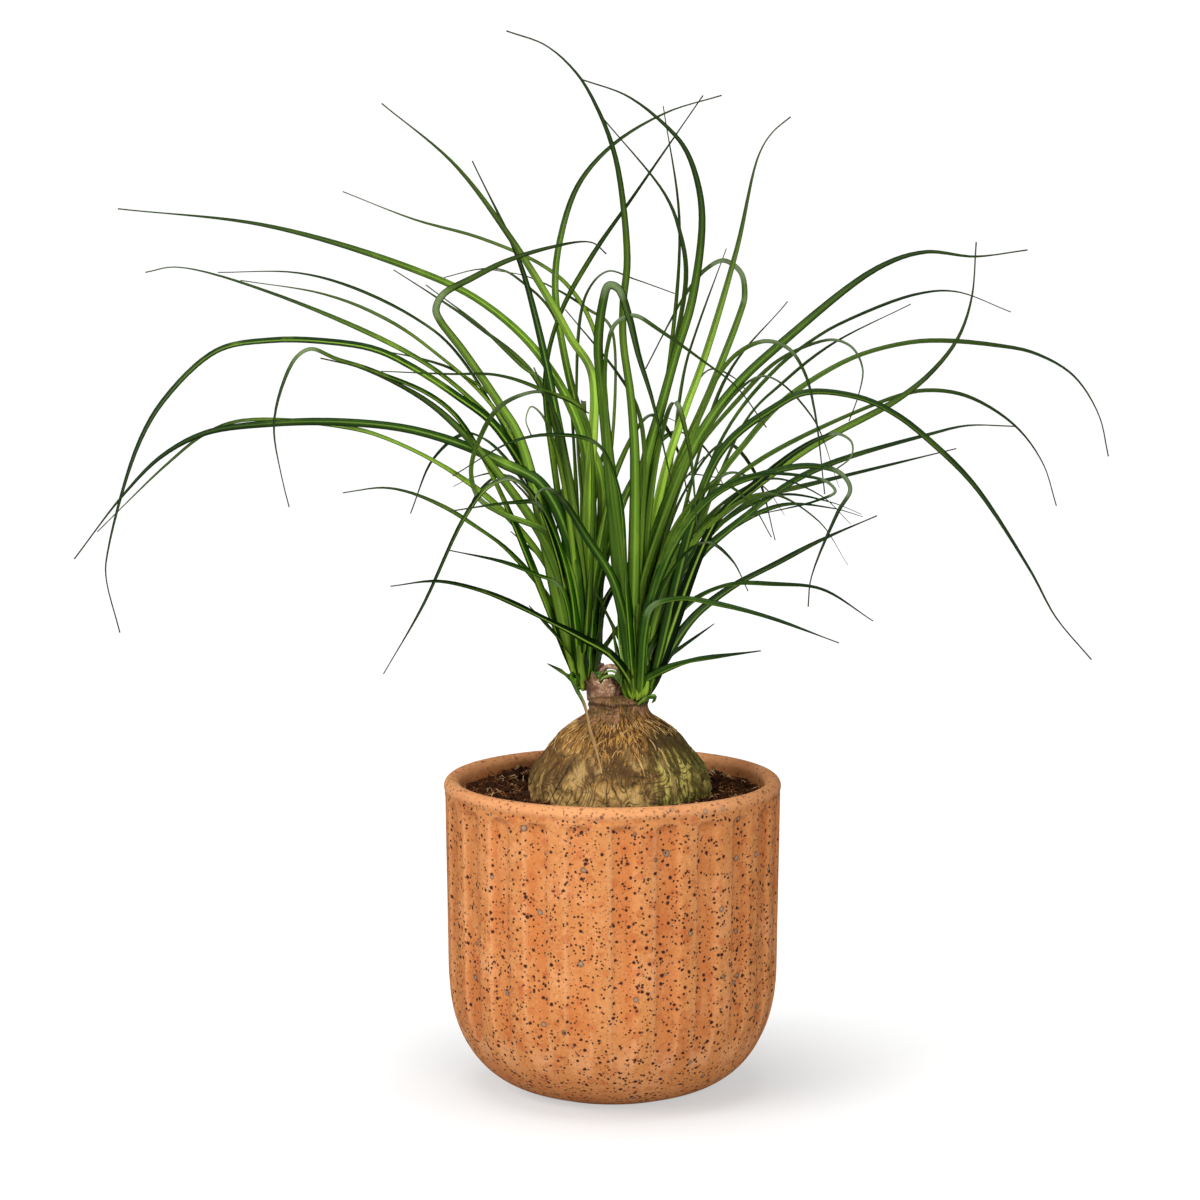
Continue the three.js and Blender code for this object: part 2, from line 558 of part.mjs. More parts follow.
const plant = new THREE.Group();
plant.add(makePot());
plant.add(makeSoil());
plant.add(makeCaudex());
plant.add(makeLeaves('leaves_left', leftCrown, leftLeaves, 1, fill.left));
plant.add(makeLeaves('leaves_right', rightCrown, rightLeaves, -1, fill.right));

export default plant;
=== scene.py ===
import math
import random

import bpy
import numpy as np
from mathutils import Matrix, Vector, noise


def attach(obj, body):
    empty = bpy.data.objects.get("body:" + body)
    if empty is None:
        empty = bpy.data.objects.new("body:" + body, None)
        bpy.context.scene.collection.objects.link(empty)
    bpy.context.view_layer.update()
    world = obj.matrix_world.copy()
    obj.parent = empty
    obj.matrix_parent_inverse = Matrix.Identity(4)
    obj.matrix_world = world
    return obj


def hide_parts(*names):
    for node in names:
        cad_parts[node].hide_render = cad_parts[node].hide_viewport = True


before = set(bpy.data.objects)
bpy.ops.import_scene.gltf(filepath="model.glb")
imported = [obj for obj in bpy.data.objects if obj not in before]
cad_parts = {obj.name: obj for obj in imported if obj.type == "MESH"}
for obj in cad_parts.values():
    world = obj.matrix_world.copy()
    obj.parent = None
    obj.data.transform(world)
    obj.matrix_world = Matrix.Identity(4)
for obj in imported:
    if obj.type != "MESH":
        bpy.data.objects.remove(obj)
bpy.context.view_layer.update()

# Potted ponytail palm. Lengths are written in millimetres and turned to metres when a mesh is made.
mm = 0.001
print("frame loaded")


# Small helpers

def smoothStep(low, high, value):
    t = np.clip((value - low) / (high - low), 0, 1)
    return t * t * (3 - 2 * t)


def mixed(a, b, t):
    return a + (b - a) * t


def unit(vector):
    return vector / (np.linalg.norm(vector) + 1e-12)


def linear(colour):
    # a colour given 0 to 255, as the linear values that a shader takes
    def one(v):
        v /= 255
        return v / 12.92 if v <= 0.04045 else ((v + 0.055) / 1.055) ** 2.4
    return (*map(one, colour), 1)


def lumps(places, size, seed, detail=1):
    # soft noise at each place, about -1 to 1, with lumps of the given size
    shift = Vector((seed * 17.3, seed * 5.1, seed * 9.7))
    found = np.zeros(len(places))
    for level in range(detail):
        step = 2 ** level / size
        found += [noise.noise(Vector(p) * step + shift) / 2 ** level for p in places]
    return found


def newPiece(name, places, faces, material, node=None, slot=None, smooth=True):
    mesh = bpy.data.meshes.new(name)
    mesh.from_pydata((np.asarray(places) * mm).tolist(), [], faces)
    mesh.validate()
    mesh.polygons.foreach_set("use_smooth", [smooth] * len(mesh.polygons))
    mesh.materials.append(material)
    piece = bpy.data.objects.new(name, mesh)
    bpy.context.scene.collection.objects.link(piece)
    if slot:
        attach(piece, "root")
    if node:
        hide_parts(node)
    return piece


def colourLayer(piece, name, values, domain="POINT"):
    # values that a material reads by the layer's name, four for each point or face corner
    layer = piece.data.color_attributes.new(name, "FLOAT_COLOR", domain)
    layer.data.foreach_set("color", np.asarray(values, np.float32).ravel())


def turns(around):
    return np.arange(around) * 2 * math.pi / around


def ring(r, angles, z, x=0, y=0):
    return np.stack([x + r * np.cos(angles), y + r * np.sin(angles), np.full(len(angles), z)], 1)


def ringFaces(rings, around, pointed=False):
    # quads between rings of points, closed at each end by a flat face or round a centre point
    sides = [(j, (j + 1) % around) for j in range(around)]
    last = (rings - 1) * around
    faces = [(k + a, k + b, k + b + around, k + a + around)
             for k in range(0, last, around) for a, b in sides]
    if not pointed:
        return faces + [tuple(range(around))[::-1], tuple(range(last, last + around))]
    low = rings * around
    return faces + [(low, b, a) for a, b in sides] + [(low + 1, last + a, last + b) for a, b in sides]


def curveThrough(points, fine):
    # centripetal Catmull-Rom curve through the points
    points = [np.array(p, float) for p in points]
    points = [2 * points[0] - points[1]] + points + [2 * points[-1] - points[-2]]
    spans = len(points) - 3
    places = []
    for i in range(fine + 1):
        t = spans * i / fine
        k = min(int(t), spans - 1)
        t -= k
        p0, p1, p2, p3 = points[k:k + 4]
        d0, d1, d2 = [max(np.linalg.norm(b - a), 1e-6) ** 0.5 for a, b in ((p0, p1), (p1, p2), (p2, p3))]
        m1 = ((p1 - p0) / d0 - (p2 - p0) / (d0 + d1) + (p2 - p1) / d1) * d1
        m2 = ((p2 - p1) / d1 - (p3 - p1) / (d1 + d2) + (p3 - p2) / d2) * d1
        t2, t3 = t * t, t * t * t
        places.append((2 * t3 - 3 * t2 + 1) * p1 + (t3 - 2 * t2 + t) * m1
                      + (3 * t2 - 2 * t3) * p2 + (t3 - t2) * m2)
    return np.array(places)


def joinParts(parts):
    places, faces = [], []
    for somePlaces, someFaces in parts:
        first = len(places)
        places += np.asarray(somePlaces).tolist()
        faces += [tuple(first + v for v in face) for face in someFaces]
    return places, faces


def strand(points, radius, around=5, taper=0.5):
    # a thin round fibre through the points
    track = curveThrough(points, 4 * (len(points) - 1))
    last = len(track) - 1
    places = []
    for k, p in enumerate(track):
        along = unit(track[min(k + 1, last)] - track[max(k - 1, 0)])
        side = unit(np.cross(along, (0.13, 0.2, 0.97)))
        up = np.cross(side, along)
        r = radius * (1 - (1 - taper) * abs(2 * k / last - 1))
        places += [p + r * (side * math.cos(a) + up * math.sin(a)) for a in turns(around)]
    return np.array(places), ringFaces(len(track), around)


# Node groups and materials

class Tree:
    # short calls for adding and linking nodes in one tree
    def __init__(self, tree):
        self.tree = tree

    def add(self, kind, sockets=None, **settings):
        node = self.tree.nodes.new("ShaderNode" + kind)
        for key, value in settings.items():
            setattr(node, key, value)
        for key, value in (sockets or {}).items():
            self.feed(node.inputs[key], value)
        return node

    def feed(self, socket, value):
        # a colour written as three numbers is made linear
        if isinstance(value, bpy.types.NodeSocket):
            self.tree.links.new(value, socket)
        else:
            isTone = socket.type == "RGBA" and len(value) == 3
            socket.default_value = linear(value) if isTone else value

    def sum(self, operation, *values):
        return self.add("Math", dict(enumerate(values)), operation=operation).outputs[0]

    def times(self, value, *others):
        for other in others:
            value = self.sum("MULTIPLY", value, other)
        return value

    def awayFrom(self, value, centre):
        return self.sum("ABSOLUTE", self.sum("SUBTRACT", value, centre))

    def span(self, value, low, high, toLow=0, toHigh=1):
        sockets = dict(enumerate((value, low, high, toLow, toHigh)))
        return self.add("MapRange", sockets, interpolation_type="SMOOTHSTEP").outputs[0]

    def blend(self, factor, a, b):
        return self.add("Mix", {0: factor, 6: a, 7: b}, data_type="RGBA").outputs[2]

    def paint(self, colour, tones, *layers):
        # each layer is a share, or what span makes a share from, and then its tone
        for *share, tone in layers:
            factor = self.span(*share) if len(share) > 1 else share[0]
            colour = self.blend(factor, colour, tones[tone] if isinstance(tone, str) else tone)
        return colour

    def parts(self, value, kind="Color"):
        return self.add("Separate" + kind, {0: value}).outputs[:3]

    def stretched(self, vector, x, y, z):
        return self.add("Mapping", {"Vector": vector, "Scale": (x, y, z)}).outputs[0]

    def length(self, vector):
        return self.add("VectorMath", {0: vector}, operation="LENGTH").outputs["Value"]

    def bent(self, vector, source, scale, amount):
        # the vector pushed about by soft noise
        wobble = self.add("TexNoise", {"Vector": source, "Scale": scale, "Detail": 2.0})
        shift = self.add("VectorMath", {0: wobble.outputs["Color"], "Scale": amount}, operation="SCALE")
        return self.add("VectorMath", {0: vector, 1: shift.outputs[0]}, operation="ADD").outputs[0]

    def noise(self, vector, scale, detail=3.0, rough=0.55, twist=0.0):
        return self.add("TexNoise", {
            "Vector": vector, "Scale": scale, "Detail": detail, "Roughness": rough, "Distortion": twist,
        }).outputs["Fac"]

    def attribute(self, name):
        return self.add("Attribute", attribute_name=name).outputs

    def group(self, group, **values):
        return self.add("Group", values, node_tree=group).outputs

    def mottled(self, vector, patch, fine, grain, dark, middle, light):
        return self.group(mottle, Vector=vector, Patch=patch, Fine=fine, Grain=grain,
                          Dark=dark, Middle=middle, Light=light)

    def specked(self, vector, density, size, share, edge):
        given = {"Vector": vector, "Density": density, "Size": size, "Share": share, "Edge": edge}
        return self.group(specks, **given)["Mask"]

    def stranded(self, vector, scale, twist, width):
        return self.group(strands, Vector=vector, Scale=scale, Twist=twist, Width=width)["Mask"]


def newGroup(name, inputs, outputs):
    # an input without a value is a vector
    group = bpy.data.node_groups.new(name, "ShaderNodeTree")
    for label, value in inputs.items():
        kind = "Vector" if value is None else "Color" if isinstance(value, tuple) else "Float"
        socket = group.interface.new_socket(name=label, in_out="INPUT", socket_type="NodeSocket" + kind)
        if value is not None:
            socket.default_value = value
    for label, kind in outputs.items():
        group.interface.new_socket(name=label, in_out="OUTPUT", socket_type="NodeSocket" + kind)
    given = group.nodes.new("NodeGroupInput")
    return Tree(group), given.outputs, group.nodes.new("NodeGroupOutput").inputs


def speckGroup():
    # round specks of uneven size: Mask is 1 inside a speck
    inputs = {"Vector": None, "Density": 400.0, "Size": 0.25, "Share": 0.5, "Edge": 0.08}
    t, given, out = newGroup("specks", inputs, {"Mask": "Float"})
    place = t.bent(given["Vector"], given["Vector"], 900.0, 0.0009)
    cells = t.add("TexVoronoi", {"Vector": place, "Scale": given["Density"]}, feature="F1").outputs
    kept, grown, _ = t.parts(cells["Color"])
    radius = t.times(given["Size"], t.span(grown, 0, 1, 0.45, 1.15))
    spot = t.span(cells["Distance"], radius, t.sum("ADD", radius, given["Edge"]), 1, 0)
    t.feed(out["Mask"], t.times(spot, t.sum("LESS_THAN", kept, given["Share"])))
    return t.tree


def mottleGroup():
    # three tones in soft patches, with a finer grain over them
    inputs = {"Vector": None, "Patch": 60.0, "Fine": 900.0, "Grain": 0.3, "Dark": (0.1, 0.1, 0.1, 1),
              "Middle": (0.3, 0.3, 0.3, 1), "Light": (0.6, 0.6, 0.6, 1)}
    t, given, out = newGroup("mottle", inputs, {"Color": "Color", "Height": "Float"})
    patch = t.noise(given["Vector"], given["Patch"], 4.0, 0.6)
    grain = t.noise(given["Vector"], given["Fine"], 2.0, 0.6)
    level = t.sum("MULTIPLY_ADD", t.sum("SUBTRACT", grain, 0.5), given["Grain"], patch)
    low = t.blend(t.span(level, 0.28, 0.5), given["Dark"], given["Middle"])
    t.feed(out["Color"], t.blend(t.span(level, 0.5, 0.72), low, given["Light"]))
    t.feed(out["Height"], level)
    return t.tree


def strandGroup():
    # fine strands that run along the stretched direction: Mask is 1 on a strand
    inputs = {"Vector": None, "Scale": 300.0, "Twist": 0.6, "Width": 0.06}
    t, given, out = newGroup("strands", inputs, {"Mask": "Float", "Height": "Float"})
    field = t.noise(given["Vector"], given["Scale"], 2.0, 0.5, given["Twist"])
    t.feed(out["Mask"], t.span(t.awayFrom(field, 0.5), 0.0, given["Width"], 1, 0))
    t.feed(out["Height"], field)
    return t.tree


specks = speckGroup()
mottle = mottleGroup()
strands = strandGroup()


def newMaterial(name, roughness, specular=0.5):
    material = bpy.data.materials.new(name)
    material.use_nodes = True
    tree = Tree(material.node_tree)
    shader = material.node_tree.nodes["Principled BSDF"].inputs
    shader["Roughness"].default_value = roughness
    shader["Specular IOR Level"].default_value = specular
    return material, tree, shader, tree.add("TexCoord").outputs["Object"]


def dress(tree, shader, colour, *bumps):
    # each bump is (height, strength, depth in millimetres)
    tree.feed(shader["Base Color"], colour)
    normal = None
    for height, strength, depth in bumps:
        bump = tree.add("Bump", {"Height": height, "Strength": strength, "Distance": depth * mm})
        if normal:
            tree.feed(bump.inputs["Normal"], normal)
        normal = bump.outputs["Normal"]
    if normal:
        tree.feed(shader["Normal"], normal)


# Camera, light and floor

view = {
    "eye": (-4.8, -1473.1, 401.5), "pitchDown": 8.144, "lens": 116.49, "frameWidth": 36,
    "aim": (0, 0, 160),
    "keyPlace": (-1250, -900, 850), "keySize": 1200, "keyPower": 20,
    "topPlace": (-150, -250, 1700), "topSize": 1300, "topPower": 14,
    "fillPlace": (500, -1500, 420), "fillSize": 900, "fillPower": 16,
    "worldLight": 0.16, "white": (1, 1, 0.995, 1), "floorTone": (0.44, 0.44, 0.44, 1),
    # how the camera sees the floor: a glow for camera rays only, dimmed at the pot's foot into a painted
    # contact shadow, raised near it to paint light over the real shadow, and white far off; and distances
    # in metres
    "glowInPaintedShadow": 0.47, "glowNear": 0.75, "glowFar": 0.93,
    "paintedShadowReach": (0.025, 0.17), "glowReach": (0.12, 1.6), "sightEnd": 50,
    "floorFront": -6000, "floorBack": 2500, "sweep": 1500, "wallTop": 6000, "halfWidth": 7000,
}
eye = np.array(view["eye"], float)


def seen(across, up, depth):
    # where a point that looks to be at (across, up) lies at a given depth
    return eye + (np.array([across, 0, up]) - eye) * (depth - eye[1]) / -eye[1]


def placed(name, data, place):
    thing = bpy.data.objects.new(name, data)
    thing.location = Vector(place) * mm
    bpy.context.scene.collection.objects.link(thing)
    return thing


def makeCamera():
    data = bpy.data.cameras.new("camera")
    data.sensor_fit, data.sensor_width, data.lens = "HORIZONTAL", view["frameWidth"], view["lens"]
    data.clip_end = view["sightEnd"]
    camera = placed("camera", data, view["eye"])
    camera.rotation_euler = (math.radians(90 - view["pitchDown"]), 0, 0)
    bpy.context.scene.camera = camera


def makeLight():
    world = bpy.data.worlds.new("studio")
    bpy.context.scene.world = world
    world.use_nodes = True
    back = world.node_tree.nodes["Background"].inputs
    back["Color"].default_value = view["white"]
    back["Strength"].default_value = view["worldLight"]
    for name in ("key", "top", "fill"):
        data = bpy.data.lights.new(name, "AREA")
        data.shape, data.size, data.energy = "DISK", view[name + "Size"] * mm, view[name + "Power"]
        lamp = placed(name, data, view[name + "Place"])
        way = Vector(view["aim"]) * mm - lamp.location
        lamp.rotation_euler = way.to_track_quat("-Z", "Y").to_euler()
    bpy.context.scene.view_settings.view_transform = "Standard"


def makeStage():
    # a floor that sweeps up into a wall, wide enough for every view
    sweep, back, wide = view["sweep"], view["floorBack"], view["halfWidth"]
    angles = np.linspace(0.1, math.pi / 2, 12)
    bend = [(back + sweep * math.sin(a), sweep * (1 - math.cos(a))) for a in angles]
    profile = [(view["floorFront"], 0), (back, 0), *bend, (back + sweep, view["wallTop"])]
    places = [(x, y, z) for y, z in profile for x in (-wide, wide)]
    faces = [(2 * i, 2 * i + 1, 2 * i + 3, 2 * i + 2) for i in range(len(profile) - 1)]
    material, t, shader, place = newMaterial("studioFloor", 0.9, 0.0)
    shader["Base Color"].default_value = view["floorTone"]
    shader["Emission Color"].default_value = view["white"]
    # painted shadow and light: the glow is dim round the pot's foot, a painted contact shadow, and
    # brighter further out, where it lifts the real shadow
    away = t.length(place)
    glow = t.sum("ADD", t.span(away, *view["paintedShadowReach"], view["glowInPaintedShadow"], view["glowNear"]),
                 t.span(away, *view["glowReach"], 0, view["glowFar"] - view["glowNear"]))
    t.feed(shader["Emission Strength"], t.times(glow, t.add("LightPath").outputs["Is Camera Ray"]))
    newPiece("studioFloor", places, faces, material)


makeCamera()
makeLight()
makeStage()
print("camera, light and floor")


# Pot

pot = {
    "radius": 65, "height": 122, "foot": 30, "footChamfer": 0.6, "wall": 6.2,
    "wallTop": 64.7, "wallLow": 63.8, "cornerAcross": 43.3, "cornerUp": 51.3, "cornerPower": 2.38,
    "floor": 8, "innerCorner": 36,
    "flutes": 24, "fluteSides": 14, "fluteDepth": 1.25, "fluteTop": 116, "fluteArch": 5,
    "fadeLow": 14, "fadeHigh": 46, "fluteTurn": math.radians(3.5),
    "clayDark": (192, 114, 60), "clayMiddle": (205, 134, 75), "clayLight": (218, 149, 96),
    "grooveTone": (197, 109, 50), "wornEdge": (230, 168, 118), "archShade": (150, 84, 42),
    "pit": (54, 26, 12), "pitRim": (138, 66, 30), "rust": (184, 92, 42),
    "fleckRim": (88, 60, 42), "fleck": (146, 122, 98), "fleckHeart": (170, 150, 124),
}


def archTop(across):
    return pot["fluteTop"] - pot["fluteArch"] * across ** 2.4


def fluteCut(across, z):
    # across runs from 0 at the middle of a flute to 1 on the ridge between two
    groove = 1 - smoothStep(0.36, 0.68, across)
    top = archTop(across)
    shown = (1 - smoothStep(top - 1.8, top, z)) * smoothStep(pot["fadeLow"], pot["fadeHigh"], z)
    return pot["fluteDepth"] * groove * shown


def potProfile():
    # outside from the foot to the lip, then the inside down to the floor
    foot, chamfer, power = pot["foot"], pot["footChamfer"], 2 / pot["cornerPower"]
    outside = [(foot * 0.5, 0), (foot - 1, 0), (foot, 0), (foot + chamfer, chamfer)]
    for t in np.linspace(0.12, 1, 34) * math.pi / 2:
        r = pot["wallLow"] - pot["cornerAcross"] * (1 - math.sin(t) ** power)
        z = pot["cornerUp"] * (1 - math.cos(t) ** power)
        if r > foot + 1.5 and z > 1:
            outside.append((r, z))
    wallEnds = (pot["cornerUp"], pot["fluteTop"]), (pot["wallLow"], pot["wallTop"])
    for z in [*np.linspace(55, 105, 16), *np.linspace(106, pot["fluteTop"], 16)]:
        outside.append((np.interp(z, *wallEnds), z))
    lip = pot["wall"] / 2
    for t in np.linspace(-0.2, 1.12, 16) * math.pi:
        outside.append((pot["radius"] - lip * (1 - math.cos(t)), pot["height"] - lip * (1 - math.sin(t))))
    r, corner = pot["radius"] - pot["wall"], pot["innerCorner"]
    inside = [(r, z) for z in (114, 104, 70, pot["floor"] + corner)]
    for t in np.linspace(0.8, 0, 5) * math.pi / 2:
        inside.append((r - corner * (1 - math.sin(t)), pot["floor"] + corner * (1 - math.cos(t))))
    return outside, inside


def clayMaterial():
    material, t, shader, place = newMaterial("speckledClay", 0.82, 0.3)
    body = t.mottled(place, 55.0, 700.0, 0.55, pot["clayDark"], pot["clayMiddle"], pot["clayLight"])
    # the cut grooves are painted a deeper orange, partly stain and partly painted shade in the recess;
    # their edges are paler, partly wear and partly a painted highlight; and a painted shade lies under
    # each flute's arch
    groove, edge, under = t.parts(t.attribute("fluteMark")["Color"])
    stain = t.span(t.noise(t.stretched(place, 1, 1, 0.35), 90.0, 3.0, 0.6), 0.36, 0.66)
    colour = t.paint(
        body["Color"], pot, (t.times(groove, t.span(stain, 0, 1, 0.15, 0.6)), "grooveTone"),
        (t.times(edge, 0.5), "wornEdge"), (t.times(under, 0.45), "archShade"),
        (t.times(t.specked(place, 230, 0.26, 0.5, 0.30), 0.45), "rust"))
    # mineral flecks: a pale heart in a grey body with a dark rim
    for size, blur, tone in ((0.17, 0.05, "fleckRim"), (0.13, 0.05, "fleck"), (0.05, 0.06, "fleckHeart")):
        colour = t.paint(colour, pot, (t.times(t.specked(place, 150, size, 0.42, blur), 0.85), tone))
    # pits of three sizes, the largest with a rusty rim, and a smoother lip whose top is painted paler, a
    # painted highlight where the top light falls
    up = t.parts(place, "XYZ")[2]
    lip = t.span(up, 0.1165, 0.1195)
    colour = t.paint(
        colour, pot, (t.times(t.specked(place, 390, 0.24, 0.75, 0.16), 0.5), "pitRim"),
        (t.times(t.specked(place, 1150, 0.24, 0.45, 0.12), 0.6), "pitRim"),
        (t.times(lip, 0.4), "wornEdge"))
    small = t.times(t.specked(place, 640, 0.23, 0.75, 0.08), 0.95)
    holes = t.sum("MAXIMUM", t.specked(place, 390, 0.20, 0.75, 0.05), small)
    holes = t.times(holes, t.span(lip, 0, 1, 1, 0.55))
    # the inside wall has few holes
    out = t.span(t.length(t.stretched(place, 1, 1, 0)), 0.0585, 0.0600)
    outside = t.sum("MAXIMUM", out, t.span(up, 0.100, 0.096))
    holes = t.times(holes, t.span(outside, 0, 1, 0.3, 1))
    dress(t, shader, t.paint(colour, pot, (holes, "pit")), (t.noise(place, 330.0, 3.0), 0.5, 0.5),
          (t.noise(place, 1600.0, 2.0), 0.5, 0.3), (t.sum("SUBTRACT", 1.0, holes), 0.9, 0.6))
    return material


def makePot():
    outside, inside = potProfile()
    profile = outside + inside
    around = pot["fluteSides"] * pot["flutes"]
    angles = turns(around)
    phase = (angles - pot["fluteTurn"]) * pot["flutes"] / (2 * math.pi)
    across = np.abs(phase - np.round(phase)) * 2
    full = fluteCut(across, 90) / pot["fluteDepth"]
    rings, marks = [], []
    for k, (r, z) in enumerate(profile):
        isWall = k < len(outside) and r > pot["foot"] and z < pot["fluteTop"] + 1
        cut = fluteCut(across, z) * isWall
        rings.append(ring(r - cut, angles - math.pi / 2, z))
        # groove: how deep the cut is here, which the material paints a deeper orange, partly stain and
        # partly painted shade
        groove = cut / pot["fluteDepth"]
        # the groove's edges are painted paler, partly wear and partly a painted highlight
        edge = np.exp(-((groove - 0.2) / 0.16) ** 2) * (groove > 0.01)
        # a soft painted shade just under the arch that closes each flute
        under = full * np.exp(-((z - archTop(across) + 1.9) / 1.1) ** 2) * isWall
        marks.append(np.stack([groove, edge, under, np.ones(around)], 1))
    rings = np.concatenate(rings)
    # the wall is a little uneven, as thrown and carved by hand
    wobble = np.abs(lumps(rings, 34, 3) * 0.16)
    out = np.linalg.norm(rings[:, :2], axis=1)
    free = (out > pot["foot"] + 4) & (rings[:, 2] > 4) & (rings[:, 2] < pot["height"] - 4)
    rings[:, :2] *= (1 - np.where(free, wobble, 0) / out)[:, None]
    places = np.r_[rings, [(0, 0, 0), (0, 0, pot["floor"])]]
    faces = ringFaces(len(profile), around, pointed=True)
    piece = newPiece("potBody", places, faces, clayMaterial(), node="pot", slot="speckled_clay")
    colourLayer(piece, "fluteMark", np.concatenate(marks + [[(0, 0, 0, 1)] * 2]))


makePot()
print("pot")


# Caudex: bulb and neck, then the stub of the old stem

caudex = {
    "x": 2.3, "y": 0, "around": 320, "fine": 170, "capRise": 0.6,
    "shape": [
        (9, 85), (20, 90), (29, 98.5), (34, 108), (35.6, 116), (35.1, 120.5), (33.4, 125), (31, 128.6),
        (28.4, 132.2), (25.6, 136), (22.2, 140), (18, 143.2), (14, 145.8), (12, 147.8), (11.3, 150),
        (11.6, 152.4), (9.4, 153.6),
    ],
    "shoulder": 5,              # the point of the shape from which fibres lie on it
    "unroll": 30,               # the bark's pattern is laid out round a circle of this radius
    "plate": (188, 152, 86), "plateLit": (218, 180, 112), "plateTan": (142, 100, 42),
    "plateDark": (82, 56, 22), "lineTone": (70, 50, 22), "band": (82, 54, 20),
    "brown": (78, 46, 20), "gold": (190, 138, 64), "neck": (104, 78, 34),
    "neckPink": (160, 114, 80), "neckDark": (66, 40, 22), "neckPale": (198, 158, 114),
    "moss": (80, 80, 24), "mossDark": (50, 44, 16), "mossLight": (222, 210, 108),
    "crack": (26, 16, 8), "straw": (226, 186, 120),
    "fibres": 520, "fibreSpan": (134.5, 146), "bareRight": 141, "seed": 3,
    "loose": [                  # from and to, as they look from the camera, and the radius
        ((8.5, 131), (12.5, 122), 0.28), ((-3.5, 136), (-8, 133.8), 0.18),
        ((18, 133), (21, 127.5), 0.2), ((14.5, 136.5), (17, 132), 0.16),
    ],
    "scratch": ((-15.5, 127.5), (-23, 113.5), 0.24),
}
stub = {
    "x": -3, "y": 2.6, "radius": 6.6, "around": 140, "fine": 70, "capRise": 0,
    "shape": [(5.4, 141), (6.0, 147), (6.5, 150), (6.2, 151.4), (6.9, 153), (7.1, 156.5), (6.5, 159),
              (4.8, 160.1), (2.4, 160.5)],
}


def barkRelief(angle, z):
    shown = smoothStep(100, 118, z)
    folds = 0.022 * np.sin(3 * angle + 0.06 * z) + 0.014 * np.sin(5 * angle - 0.11 * z + 1)
    return 1 + shown * (folds + 0.012 * np.sin(9 * angle + 0.19 * z))


